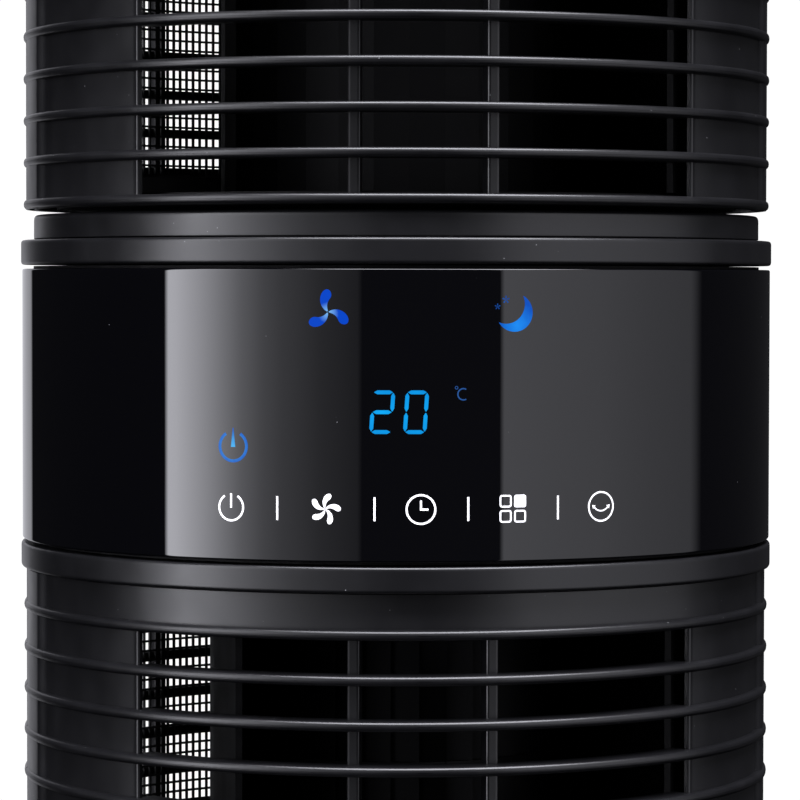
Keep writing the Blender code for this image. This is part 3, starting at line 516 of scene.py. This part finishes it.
def front_grille(size, low, high):
    """Ribs all round, side walls up to the last rib, a plain top and the two upright bars. The
    top's face sinks by 1.1 mm x cos(angle x 90 / opening) between the side walls."""
    opening, span = math.degrees(size.opening), math.degrees(size.span)
    ribs = round((high - low) / size.pitch)
    angles = np.concatenate([np.linspace(-span, -opening - 0.6, 18),
                             np.linspace(-opening - 0.4, opening + 0.4, 46),
                             np.linspace(opening + 0.6, span, 18)])
    depths = np.where(np.abs(angles) < opening + 0.5, size.depth, size.wall_inset + 0.0006)
    levels = np.arange(ribs) * size.pitch
    parts = [lifted(rib(angles, depths, size), levels)]
    side = np.concatenate([opening + np.linspace(0, 0.8, 7), np.linspace(opening + 1.5, 71.5, 14),
                           np.linspace(72, 75, 9), np.linspace(76, span, 6)])
    outer = side_wall_radii(side, size)
    lip = RIB_R - size.wall_inset - size.lip
    inner = lip - (size.wall_thickness - size.lip) * np.clip((side - opening) / 3, 0, 1)
    height, under = high - low, levels[-1] + size.thickness / 2
    parts.append(wall(side, outer, inner, 0.0, under))
    parts.append(wall(-side[::-1], outer[::-1], inner[::-1], 0.0, under))
    beyond = side[side > opening + 1]
    top = np.concatenate([-beyond[::-1], np.linspace(-opening, opening, 61), beyond])
    sink = 0.0011 * np.cos(np.radians((top * 90 / opening).clip(-90, 90)))
    parts.append(wall(top, side_wall_radii(np.abs(top), size) - sink,
                      np.full_like(top, inner[-1] - 0.001), under, height))
    outer_r = RIB_R - size.bar_inset
    for turn in (-1, 1):
        parts.append(bar(turn * math.degrees(size.bar_angle), size.bar_width, outer_r,
                         outer_r - 0.0045, size.thickness / 2, under))
    return lifted(joined(parts), [low])


def rear_grille(size, low, high):
    """Ribs behind the mesh, plain side walls outside it, a top band and three upright bars."""
    opening = math.degrees(size.rear_opening)
    span = 180 - math.degrees(size.span) - math.degrees(0.0006 / RIB_R)
    ribs = round((high - low) / size.pitch)
    angles = np.linspace(-span, span, 81)
    levels = np.arange(ribs) * size.pitch
    parts = [lifted(rib(angles, np.full_like(angles, 0.003), size, 180.0), levels)]
    height = high - low
    inner = RIB_R - 0.003
    half = size.thickness / 2
    side = np.linspace(opening, span, 19)
    top = np.linspace(-opening - 0.2, opening + 0.2, 61)
    for angles, foot, end in ((-side[::-1], 0.0, height), (side, 0.0, height),
                              (top, levels[-1] + half, height), (top, half, size.pitch + half)):
        parts.append(wall(angles, np.full_like(angles, RIB_R - size.strip_inset),
                          np.full_like(angles, inner), foot, end, 180.0))
    reach = math.degrees(size.rear_bar_angle)
    for turn in (-reach, 0.0, reach):
        parts.append(bar(180 + turn, size.rear_bar_width, RIB_R - 0.0003, inner,
                         half, levels[-1] + half))
    return lifted(joined(parts), [low])


def intake_mesh(size, low, high, outer, half_angle):
    """Punched sheet as crossing webs: level arcs over upright strips, all of one thickness."""
    inner = outer - size.thickness
    rows = np.arange(0, high - low - size.web_up, size.up)
    arc = np.linspace(180 - half_angle, 180 + half_angle, 61)[:, None]
    section = np.array([(inner, 0), (outer, 0), (outer, size.web_up), (inner, size.web_up)])
    level = skin(on_cylinder(section[None, :, 0], arc, section[None, :, 1]))
    count = int(2 * math.radians(half_angle) * outer / size.across)
    turns = 180 + np.linspace(-half_angle, half_angle, count)
    half = math.degrees(size.web_across / 2 / outer)
    sweep = turns[:, None] + np.array([-half, half, half, -half])
    radii = np.array([inner, inner, outer, outer])
    foot = on_cylinder(radii, sweep, 0.0)
    strips = [skin(np.stack([one, one + (0, 0, high - low)])) for one in foot]
    return lifted(joined([lifted(level, rows)] + strips), [low])


# ---- blower wheel ------------------------------------------------------------------------------
def blower_wheel(size, outer, low, high, shaft):
    """Cage of curved blades in stacked bays between discs. A blade's middle line leans by up to
    24 degrees x share^2 as its radius grows, and its thickness is a half wave plus a thin edge."""
    share = np.linspace(0, 1, 7)
    radius = outer - size.depth * (1 - share)
    lean = 24.0 * share ** 2
    half = np.degrees(size.thickness / 2 * (0.35 + 0.65 * np.sin(np.pi * share)) / radius)
    turn = np.concatenate([lean - half, (lean + half)[::-1]])
    plan_r = np.concatenate([radius, radius[::-1]])
    starts = np.arange(size.blades) * 360 / size.blades
    blades = joined([upright(on_cylinder(plan_r, turn + start, 0.0)[:, :2], 0.0,
                             (high - low) / size.bays) for start in starts])
    bay = (high - low) / size.bays
    parts = [lifted(blades, low + np.arange(size.bays) * bay)]
    rim = rounded([(outer - size.depth, 0), (outer, 0), (outer, size.disc),
                   (outer - size.depth, size.disc)], 0.0003, 3)
    levels = low + np.arange(1, size.bays) * bay - size.disc / 2
    parts.append(lifted(lathed(rim, 72), levels))
    end = rounded([(shaft, 0), (outer, 0), (outer, size.disc), (shaft, size.disc)], 0.0003, 3)
    parts.append(lifted(lathed(end, 72), [low, high - size.disc]))
    return joined(parts)


# ---- symbols on the band -----------------------------------------------------------------------
def ribbon(first, second, low, high, ring=False, across=4):
    """Thin mark on the band between two edge lines, given in metres as (arc length round the band,
    height). A point is wrapped by angle = arc / radius and carried from one lift to the other."""
    t = np.linspace(0, 1, across + 1)[None, :, None]
    flat = first[:, None] * (1 - t) + second[:, None] * t
    turn = np.degrees(flat[..., 0] / BAND_R)
    under = on_cylinder(BAND_R + low, turn, flat[..., 1])
    over = on_cylinder(BAND_R + high, turn, flat[..., 1])
    return skin(np.concatenate([under, over[:, ::-1]], axis=1), ring)


def circle(centre, radius, start=0.0, end=360.0, steps=49):
    """Points on a circle; angles run anticlockwise from the right, in degrees."""
    turn = np.radians(np.linspace(start, end, steps))
    return np.array(centre) + radius * np.stack([np.cos(turn), np.sin(turn)], -1)


def stroke(points, width, lifts, ring=False, taper=None):
    """Line of a width along points: each edge lies half the width along the line's normal."""
    ahead = np.roll(points, -1, 0) - np.roll(points, 1, 0) if ring else np.gradient(points, axis=0)
    normal = np.stack([-ahead[:, 1], ahead[:, 0]], -1)
    normal /= np.linalg.norm(normal, axis=1, keepdims=True)
    half = np.full(len(points), width / 2) if taper is None else width / 2 * taper
    shift = normal * half[:, None]
    return ribbon(points - shift, points + shift, *lifts, ring)


def line(start, end, steps=9):
    return np.linspace(start, end, steps)


def power_mark(centre, radius, width, lifts, needle=None):
    """Ring open at the top, with an upright bar that may taper to a point."""
    arc = circle(centre, radius, 122.0, 418.0)
    top = np.array(centre) + (0.0, radius * (1.05 if needle is None else 1.25))
    foot = np.array(centre) + (0.0, -0.05 * radius)
    return joined([stroke(arc, width, lifts),
                   stroke(line(foot, top), width * (1.0 if needle is None else 1.6), lifts,
                          taper=needle)])


def fan_mark(centre, radius, blades, lifts, start, sweep, width):
    """Fan blades with blunt tips: a blade's middle line turns by sweep x share^1.5 as it runs out,
    and its width grows as share^0.8 and closes near the tip as the root of 1 - share^8."""
    share = 0.04 + 0.96 * np.sin(np.linspace(0, np.pi / 2, 19))
    parts = []
    for angle in start + np.arange(blades) * 360 / blades:
        turn = np.radians(angle + sweep * share ** 1.5)
        middle = np.array(centre) + radius * share[:, None] * np.stack(
            [np.cos(turn), np.sin(turn)], -1)
        parts.append(stroke(middle, width, lifts,
                            taper=share ** 0.8 * np.sqrt((1 - share ** 8).clip(0.004))))
    return joined(parts)


def clock_mark(centre, radius, width, lifts):
    """Ring with one hand up and one to the right."""
    middle = np.array(centre)
    return joined([stroke(circle(centre, radius)[:-1], width, lifts, True),
                   stroke(line(middle + (0, -width / 2), middle + (0, 0.62 * radius)), width,
                          lifts),
                   stroke(line(middle, middle + (0.52 * radius, 0)), width, lifts)])


def square_outline(centre, size, corner):
    half = size / 2
    corners = [(-half, -half), (half, -half), (half, half), (-half, half)]
    return rounded(corners, corner, 6) + np.array(centre)


def squares_mark(centre, radius, width, lifts):
    """Four rounded squares, the upper right one filled."""
    size, gap = radius * 0.86, radius * 0.52
    parts = []
    for x, y in ((-1, -1), (1, -1), (-1, 1)):
        spot = np.array(centre) + (x * gap, y * gap)
        parts.append(ribbon(square_outline(spot, size, 0.24 * size),
                            square_outline(spot, size - 1.7 * width, 0.1 * size), *lifts, True))
    spot = np.array(centre) + gap
    height = np.linspace(-1, 1, 17)
    past = ((np.abs(height) - 0.7) / 0.3).clip(0, 1)
    inset = 0.2 * (1 - np.sqrt(1 - past ** 2))
    side = np.stack([1 - 1.5 * inset, height], -1) * size / 2
    parts.append(ribbon(spot + side * (-1, 1), spot + side, *lifts))
    return joined(parts)


def swing_mark(centre, radius, width, lifts):
    """Ring with a smile-shaped arrow that points both ways."""
    middle = np.array(centre)
    smile = circle(middle + (0, 0.42 * radius), 0.72 * radius, 220.0, 320.0, 21)
    parts = [stroke(circle(centre, radius)[:-1], width, lifts, True),
             stroke(smile, width * 0.8, lifts)]
    for end, side in ((smile[0], -1), (smile[-1], 1)):
        heading = end + np.array((side * 0.16, 0.16)) * radius
        parts.append(stroke(line(end, heading), width * 2.6, lifts,
                            taper=np.linspace(1, 0.05, 9)))
    return joined(parts)


def digit(corner, lit, size, lifts, slant=0.066):
    """Seven-segment digit: each lit segment is a bar with pointed ends between two corners of the
    digit's frame, and the frame leans to the right by the slant."""
    w, h = size.digit_width - size.segment, size.digit_height - size.segment
    spots = {"a": ((0, h), (w, h)), "b": ((w, h), (w, h / 2)), "c": ((w, h / 2), (w, 0)),
             "d": ((0, 0), (w, 0)), "e": ((0, h / 2), (0, 0)), "f": ((0, h), (0, h / 2)),
             "g": ((0, h / 2), (w, h / 2))}
    parts = []
    for name in lit:
        start, end = (np.array(spot) for spot in spots[name])
        way = (end - start) / np.linalg.norm(end - start)
        inset = 0.16 * size.segment
        points = line(start + way * inset, end - way * inset, 13)
        share = np.linspace(0, 1, 13)
        taper = np.clip(np.minimum(share, 1 - share) * 7.0, 0.12, 1.0)
        points = points + np.array(corner) + size.segment / 2
        points[:, 0] += slant * (points[:, 1] - corner[1])
        parts.append(stroke(points, size.segment, lifts, taper=taper))
    return joined(parts)


# ---- operators ---------------------------------------------------------------------------------
class FanStep:
    bl_options = {'REGISTER', 'UNDO'}

    def execute(self, context):
        self.build(context.scene.tower_fan)
        return {'FINISHED'}

    def each_head(self, cad, made, shape, finish_name, slot, bodies=HEADS):
        """Makes a piece in each head in place of its CAD part, from the box of that part."""
        for head, body in bodies.items():
            name = f"{head}_{cad}"
            piece(f"{head}_{made}", shape(head, *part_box(name)), finish(finish_name), body,
                  [name])


class TOWERFAN_OT_front_grilles(FanStep, bpy.types.Operator):
    """Makes both ribbed front grilles"""
    bl_idname = "tower_fan.front_grilles"
    bl_label = "Front grilles"

    def build(self, chosen):
        self.each_head("front_grille", "front_grille_moulding",
                       lambda _, low, high: front_grille(chosen.grille, low.z, high.z),
                       "satin_moulded_abs", "satin_black_plastic")


class TOWERFAN_OT_rear_grilles(FanStep, bpy.types.Operator):
    """Makes both rear grilles"""
    bl_idname = "tower_fan.rear_grilles"
    bl_label = "Rear grilles"

    def build(self, chosen):
        self.each_head("rear_grille", "rear_grille_moulding",
                       lambda _, low, high: rear_grille(chosen.grille, low.z, high.z),
                       "satin_moulded_abs", "satin_black_plastic")


class TOWERFAN_OT_intake_meshes(FanStep, bpy.types.Operator):
    """Makes the fine meshes inside the rear grilles"""
    bl_idname = "tower_fan.intake_meshes"
    bl_label = "Intake meshes"

    def build(self, chosen):
        outer = RIB_R - 0.0033
        half_angle = math.degrees(chosen.grille.rear_opening)
        self.each_head("rear_mesh", "intake_mesh",
                       lambda _, low, high: intake_mesh(chosen.mesh, low.z, high.z, outer,
                                                        half_angle),
                       "coated_steel_mesh", "dark_grey_plastic")


class TOWERFAN_OT_blower_wheels(FanStep, bpy.types.Operator):
    """Makes both cross-flow wheels"""
    bl_idname = "tower_fan.blower_wheels"
    bl_label = "Blower wheels"

    def build(self, chosen):
        def wheel(head, low, high):
            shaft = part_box(f"{head}_blower_shaft")[1].x + 0.0003
            return blower_wheel(chosen.wheel, high.y, low.z, high.z, shaft)

        self.each_head("blower_wheel", "cross_flow_wheel", wheel, "matt_moulded_polypropylene",
                       "dark_grey_plastic", {head: f"{head}_blower" for head in HEADS})


class TOWERFAN_OT_rings(FanStep, bpy.types.Operator):
    """Makes the flanges round the heads and the neck collar"""
    bl_idname = "tower_fan.rings"
    bl_label = "Flanges and collar"

    def build(self, chosen):
        satin = finish("satin_moulded_abs")
        sheet, rim, edge, soft = 0.0030, 0.0062, 0.0009, 0.0004
        skirt = FLANGE_R - 0.0085

        def ring(cad, body, corners, radii):
            outline = rounded(corners, radii)
            piece(f"{cad}_ring", lathed(outline), satin, body, [cad])

        for cad, body in (("band_lower_flange", "tower"), ("upper_top_flange", "upper_head")):
            low, high = (corner.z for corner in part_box(cad))
            shaft, boss_in, boss = 0.0045, 0.0088, 0.0118
            ring(cad, body,
                 [(shaft, high), (FLANGE_R, high), (FLANGE_R, high - rim), (skirt, high - rim),
                  (skirt, high - sheet), (boss, high - sheet), (boss, low), (boss_in, low),
                  (boss_in, high - sheet), (shaft, high - sheet)],
                 [0, edge, edge, soft, soft, soft, 0.0002, 0, 0, 0])
        low, high = (corner.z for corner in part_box("neck_flange"))
        bore = 0.0070
        ring("neck_flange", "tower",
             [(FLANGE_R, high), (FLANGE_R, low), (bore, low), (bore, low + sheet),
              (skirt, low + sheet), (skirt, high)],
             [edge, edge, 0, 0, soft, 0.0002])
        low, high = (corner.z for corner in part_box("neck_collar"))
        outer, bore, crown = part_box("neck_collar")[1].x, 0.0147, 0.0025
        inner = outer - sheet
        ring("neck_collar", "tower",
             [(bore, high), (outer, high), (outer, low), (inner, low), (inner, high - crown),
              (bore, high - crown)],
             [0, 0.0013, 0.0002, 0.0002, soft, 0])


class TOWERFAN_OT_band(FanStep, bpy.types.Operator):
    """Makes the glossy control band"""
    bl_idname = "tower_fan.band"
    bl_label = "Control band"

    def build(self, chosen):
        inner = BAND_R - 0.0025
        outline = rounded([(inner, BAND_LOW), (BAND_R, BAND_LOW), (BAND_R, BAND_HIGH),
                           (inner, BAND_HIGH)], [0.0002, 0.0005, 0.0005, 0.0002], 7)
        piece("polished_control_band", lathed(outline, 384), finish("polished_black_acrylic"),
              "tower", ["band_panel"], 20.0)


class TOWERFAN_OT_printed_row(FanStep, bpy.types.Operator):
    """Makes the row of printed touch buttons"""
    bl_idname = "tower_fan.printed_row"
    bl_label = "Printed buttons"

    def build(self, chosen):
        size = chosen.symbols
        # The printed row glows at strength 0.78: painted light that keeps the ink bright white.
        ink = glowing_print("backlit_white_ink", chosen.finishes.ink, 0.78)
        lifts = (-0.00003, size.print_lift)
        row = BAND_LOW + size.row
        spots = [(arc * MM, row) for arc in (-46.0, -23.1, -1.05, 20.5, 43.2)]
        wide, r = size.stroke, size.button
        marks = {
            "power_button_print": power_mark(spots[0], r * 0.93, wide, lifts),
            "fan_button_print": fan_mark(spots[1], r * 1.05, 5, lifts, 108.0, -42.0, 1.75 * MM),
            "clock_button_print": clock_mark(spots[2], r, wide, lifts),
            "mode_button_print": squares_mark(spots[3], r * 1.02, wide, lifts),
            "swing_button_print": swing_mark(spots[4], r * 1.02, wide * 0.85, lifts),
        }
        for i, arc in enumerate((-34.5, -11.7, 9.9, 31.7)):
            ends = ((arc * MM, row - 0.0027), (arc * MM, row + 0.0028))
            marks[f"divider_print_{i + 1}"] = stroke(line(*ends), wide, lifts)
        for name, mark in marks.items():
            piece(name, mark, ink, "tower")


class TOWERFAN_OT_lit_display(FanStep, bpy.types.Operator):
    """Makes the lit digits and symbols of the display"""
    bl_idname = "tower_fan.lit_display"
    bl_label = "Lit display"

    def build(self, chosen):
        size, tint = chosen.symbols, chosen.finishes
        lifts = (-0.00003, size.print_lift * 0.6)
        lit = {
            "lit_digit_tens": (digit((-0.01300, BAND_LOW + 0.0296), "abged", size, lifts),
                               (-0.0100, 0.0345), 9.0, tint.lit, tint.lit_deep, 1.0),
            "lit_digit_units": (digit((-0.00525, BAND_LOW + 0.0296), "abcdef", size, lifts),
                                (-0.0022, 0.0345), 9.0, tint.lit, tint.lit_deep, 1.0),
        }
        fan = (-0.0225, BAND_LOW + 0.0575)
        lit["lit_fan_symbol"] = (fan_mark(fan, 0.0048, 3, lifts, 128.0, -44.0, 0.0030),
                                 (-0.0225, 0.0575), 3.0, "#8cd0ff", tint.lamp_deep, 1.0)
        moon = (0.0208, BAND_LOW + 0.0574)
        outer = circle(moon, 0.0044, -150.0, 62.0, 41)
        inner = circle((moon[0] - 0.00204, moon[1] + 0.00197), 0.00453, -113.0, 25.0, 41)
        inner[[0, -1]] = outer[[0, -1]]
        lit["lit_moon_symbol"] = (ribbon(inner, outer, *lifts), (0.0215, 0.0545), 6.0,
                                  "#1c96ff", "#0350c0", 1.0)
        ring = (-0.0455, BAND_LOW + 0.0264)
        lit["lit_power_symbol"] = (
            power_mark(ring, 0.0034, 0.00070, lifts, np.linspace(1.0, 0.25, 9) ** 1.2),
            (-0.0455, 0.0264), 5.0, "#55c4ff", "#1458c8", 0.95)
        unit = (0.0082, BAND_LOW + 0.0388)
        letter = joined([
            stroke(circle((unit[0] - 0.0011, unit[1] + 0.0014), 0.00032, 0, 360, 17)[:-1],
                   0.00018, lifts, True),
            stroke(circle((unit[0] + 0.0005, unit[1] - 0.0001), 0.0013, 60, 300, 17),
                   0.00030, lifts)])
        lit["lit_degree_symbol"] = (letter, (0.0082, 0.0388), 5.0, "#3468b4", "#1c3c78", 0.9)
        stars = joined([fan_mark((x, BAND_LOW + z), r, 5, lifts, 90.0, 0.0, 0.5 * r)
                        for x, z, r in ((0.0187, 0.0604, 0.0009), (0.0167, 0.0588, 0.0007))])
        lit["lit_star_symbols"] = (stars, (0.0180, 0.0597), 3.0, "#2268c8", "#0c3c90", 0.8)
        for name, (mark, (arc, up), reach, bright, deep, strength) in lit.items():
            turn = math.degrees(arc / BAND_R)
            centre = tuple(on_cylinder(BAND_R, turn, BAND_LOW + up))
            glow = lit_glyph(f"{name}_glow", bright, deep, centre, reach, strength)
            piece(name, mark, glow, "tower")


class TOWERFAN_OT_top_cap(FanStep, bpy.types.Operator):
    """Makes the glossy cap on the upper head"""
    bl_idname = "tower_fan.top_cap"
    bl_label = "Top cap"

    def build(self, chosen):
        low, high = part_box("top_cap")
        edge = high.x
        rise = high.z - low.z
        share = np.linspace(0, 1, 40)
        crown = np.stack([edge * share, high.z - rise * (0.22 * share ** 2 + 0.78 * share ** 22)],
                         -1)
        outline = np.concatenate([crown, [(edge, low.z), (0.0, low.z)]])
        piece("domed_top_cap", lathed(outline), finish("polished_black_acrylic"), "upper_head",
              ["top_cap"], 40.0)


class TOWERFAN_OT_base(FanStep, bpy.types.Operator):
    """Makes the round base cover with its cord inlet"""
    bl_idname = "tower_fan.base"
    bl_label = "Base cover"

    def build(self, chosen):
        low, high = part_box("base_cover")
        edge, top = high.x, high.z
        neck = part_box("neck_collar")[1].x
        wall_t = 0.0025
        outline = rounded(
            [(0.0147, top), (neck, top), (neck, 0.0262), (edge - 0.004, 0.0203), (edge, 0.0150),
             (edge, low.z), (edge - wall_t, low.z), (edge - wall_t, 0.0145),
             (edge - 0.0060, 0.0180), (neck - 0.003, 0.0230), (neck - 0.003, top - wall_t),
             (0.0147, top - wall_t)],
            [0, 0.0013, 0.0030, 0.0035, 0.0025, 0.0004, 0, 0.001, 0.001, 0.001, 0.0004, 0], 7)
        cover = piece("round_base_cover", lathed(outline), finish("satin_moulded_abs"), "base",
                      ["base_cover"])
        inlet_low, inlet_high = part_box("cord_inlet_grommet")
        centre = (inlet_low + inlet_high) / 2
        radius = (inlet_high.x - inlet_low.x) / 2 + 0.0003
        turn = np.linspace(0, 2 * np.pi, 48, endpoint=False)
        hole = np.stack([centre.x + radius * np.cos(turn), centre.z + radius * np.sin(turn)], -1)
        rows = np.array([edge - 0.02, edge + 0.02])[:, None, None]
        grid = np.concatenate([np.broadcast_to(hole[None, :, :1], (2, 48, 1)),
                               np.broadcast_to(rows, (2, 48, 1)),
                               np.broadcast_to(hole[None, :, 1:], (2, 48, 1))], -1)
        cut_away(cover, skin(grid))


def cut_away(target, part):
    """Cuts a skin's shape out of an object and keeps only the result."""
    points, faces = part
    mesh = bpy.data.meshes.new("cutter")
    mesh.from_pydata(points.tolist(), [], faces.tolist())
    shape = bmesh.new()
    shape.from_mesh(mesh)
    bmesh.ops.recalc_face_normals(shape, faces=shape.faces)
    shape.to_mesh(mesh)
    shape.free()
    cutter = bpy.data.objects.new("cutter", mesh)
    bpy.context.scene.collection.objects.link(cutter)
    change = target.modifiers.new("cut", 'BOOLEAN')
    change.operation, change.solver, change.object = 'DIFFERENCE', 'EXACT', cutter
    bpy.context.view_layer.update()
    graph = bpy.context.evaluated_depsgraph_get()
    made = bpy.data.meshes.new_from_object(target.evaluated_get(graph))
    target.modifiers.clear()
    old, target.data = target.data, made
    bpy.data.meshes.remove(old)
    bpy.data.objects.remove(cutter)
    bpy.data.meshes.remove(mesh)
    made.shade_smooth()
    made.set_sharp_from_angle(angle=math.radians(32))


class TOWERFAN_OT_inner_parts(FanStep, bpy.types.Operator):
    """Gives every other part of the frame its finish"""
    bl_idname = "tower_fan.inner_parts"
    bl_label = "Inner parts"

    def build(self, chosen):
        slots = {part["node"]: part["material_slot"] for part in frame["record"]["subparts"]}
        for name, part in NODES.items():
            part.data.materials.clear()
            part.data.materials.append(finish(SLOT_FINISH[slots[name]]))


class TOWERFAN_OT_studio(FanStep, bpy.types.Operator):
    """Makes the floor, the studio lights and the camera"""
    bl_idname = "tower_fan.studio"
    bl_label = "Studio"

    def build(self, chosen):
        studio = chosen.studio
        self.floor()
        self.surround(studio)
        self.camera(studio)
        bpy.context.scene.view_settings.view_transform = 'Standard'

    def floor(self):
        """Round pale floor, a flat disc 2.4 m in radius."""
        turn = np.linspace(0, 2 * np.pi, 128, endpoint=False)
        radius = 2.4
        mesh = bpy.data.meshes.new("studio_floor")
        points = np.stack([radius * np.cos(turn), radius * np.sin(turn), 0 * turn - 0.0002], -1)
        mesh.from_pydata(points.tolist(), [], [list(range(128))])
        coat, tree, shader, place = blank("pale_floor_paint", Roughness=0.85,
                                          Specular_IOR_Level=0.1)
        mottle = grains(tree, place, 60.0, 2.0)
        tree.links.new(node(tree, "Mix", mottle, i6=paint("#747474"), i7=paint("#7a7a7a"),
                            data_type="RGBA", out=2), shader["Base Color"])
        mesh.materials.append(coat)
        made = bpy.data.objects.new("studio_floor", mesh)
        bpy.context.scene.collection.objects.link(made)
        made.visible_diffuse = made.visible_glossy = False

    def surround(self, studio):
        """White backdrop to the eye; to the fan, two softboxes, one overhead and dark flags.
        The side lights are a ramp over the angle round the fan from the camera's side."""
        world = bpy.data.worlds.new("studio_surround")
        bpy.context.scene.world = world
        world.use_nodes = True
        tree = world.node_tree
        tree.nodes.clear()
        way = node(tree, "TexCoord", out="Generated")
        x, y, z = node(tree, "SeparateXYZ", way).node.outputs
        ahead = node(tree, "Math", y, -1.0, operation="MULTIPLY")
        angle = node(tree, "Math", x, ahead, operation="ARCTAN2")
        share = node(tree, "MapRange", angle, -math.pi + studio.azimuth,
                     math.pi + studio.azimuth, 0.0, 1.0)
        sides = node(tree, "ValToRGB", share)
        ramp = sides.node.color_ramp.elements
        left_fade = ((-72.2, 1.0), (-69, 0.98), (-60, 0.69), (-53, 0.45), (-47, 0.27),
                     (-40, 0.155), (-34, 0.105), (-22, 0.053), (-11, 0.03))
        right_fade = ((31.8, 1.0), (63, 0.78), (82, 0.55), (100, 0.36))
        stops = [(-180, studio.back), (-149.5, studio.back), (-148, 0.01), (-72.8, 0.03),
                 *((at, share * studio.left) for at, share in left_fade),
                 (-10.4, studio.around), (31.2, studio.around),
                 *((at, share * studio.right) for at, share in right_fade),
                 (105, 0.03), (180, 0.02)]
        peak = max(level for _, level in stops)
        for at, _ in stops[1:-1]:
            ramp.new((at + 180) / 360)
        for stop, (_, level) in zip(ramp, stops):
            stop.color = (level / peak,) * 3 + (1.0,)
        over_floor = node(tree, "MapRange", z, -0.40, -0.25, 0.0, 1.0)
        under_top = node(tree, "MapRange", z, 0.62, 0.74, 1.0, 0.0)
        for part in (peak, over_floor, under_top):
            sides = node(tree, "Math", sides, part, operation="MULTIPLY")
        above = node(tree, "MapRange", z, 0.2, 0.3, 0.0, studio.top)
        for value, low, high in ((x, -0.42, 0.75), (y, -0.8, 0.1)):
            slope = node(tree, "Math", value, z, operation="DIVIDE")
            for edge, inside in ((low, 0.12), (high, -0.12)):
                share = node(tree, "MapRange", slope, edge, edge + inside, 0.0, 1.0)
                above = node(tree, "Math", above, share, operation="MULTIPLY")
        light = node(tree, "Math", sides, above, operation="ADD")
        cool = node(tree, "VectorMath", (0.98, 0.98, 1.06), Scale=light, operation="SCALE")
        unseen = node(tree, "Background", cool, 1.0)
        seen = node(tree, "Background", (1.0, 1.0, 1.0, 1.0), 1.05)
        eye = node(tree, "LightPath", out="Is Camera Ray")
        node(tree, "OutputWorld", node(tree, "MixShader", eye, unseen, seen))

    def camera(self, studio):
        """Camera close to the control band, a little below level and slightly turned."""
        lens = bpy.data.cameras.new("camera")
        lens.sensor_width = 36.0
        lens.lens = 162.83
        lens.clip_start, lens.clip_end = 0.05, 50.0
        made = bpy.data.objects.new("camera", lens)
        bpy.context.scene.collection.objects.link(made)
        distance, aside, eye, tilt, roll = 0.9221, 0.00104, 0.5003, 0.0331, 0.0018
        turn = studio.azimuth
        made.location = (distance * math.sin(turn) + aside * math.cos(turn),
                         -distance * math.cos(turn) + aside * math.sin(turn), eye)
        made.rotation_euler = (math.pi / 2 - tilt, 0.0, turn)
        made.rotation_euler.rotate_axis('Z', roll)
        bpy.context.scene.camera = made


STEPS = (TOWERFAN_OT_inner_parts, TOWERFAN_OT_front_grilles, TOWERFAN_OT_rear_grilles,
         TOWERFAN_OT_intake_meshes, TOWERFAN_OT_blower_wheels, TOWERFAN_OT_rings,
         TOWERFAN_OT_band, TOWERFAN_OT_printed_row, TOWERFAN_OT_lit_display,
         TOWERFAN_OT_top_cap, TOWERFAN_OT_base, TOWERFAN_OT_studio)
GROUPS = (GrilleSizes, MeshSizes, WheelSizes, SymbolSizes, FinishChoices, StudioChoices,
          TowerFanSettings)


class TOWERFAN_PT_panel(bpy.types.Panel):
    """Sizes, colours and build steps of the tower fan"""
    bl_idname = "TOWERFAN_PT_panel"
    bl_label = "Tower Fan"
    bl_space_type = 'VIEW_3D'
    bl_region_type = 'UI'
    bl_category = "Tower Fan"

    def draw(self, context):
        chosen = context.scene.tower_fan
        for step in STEPS:
            self.layout.operator(step.bl_idname)
        for name in TowerFanSettings.__annotations__:
            group = getattr(chosen, name)
            box = self.layout.box()
            box.label(text=name.capitalize())
            for setting in type(group).__annotations__:
                box.prop(group, setting)


def register():
    for kind in (*GROUPS, *STEPS, TOWERFAN_PT_panel):
        bpy.utils.register_class(kind)
    bpy.types.Scene.tower_fan = bpy.props.PointerProperty(type=TowerFanSettings,
                                                          name="Tower fan",
                                                          description="Tower fan settings")


def unregister():
    del bpy.types.Scene.tower_fan
    for kind in reversed((*GROUPS, *STEPS, TOWERFAN_PT_panel)):
        bpy.utils.unregister_class(kind)


def main():
    register()
    for step in STEPS:
        group, name = step.bl_idname.split(".")
        getattr(getattr(bpy.ops, group), name)()


if __name__ == "__main__":
    main()
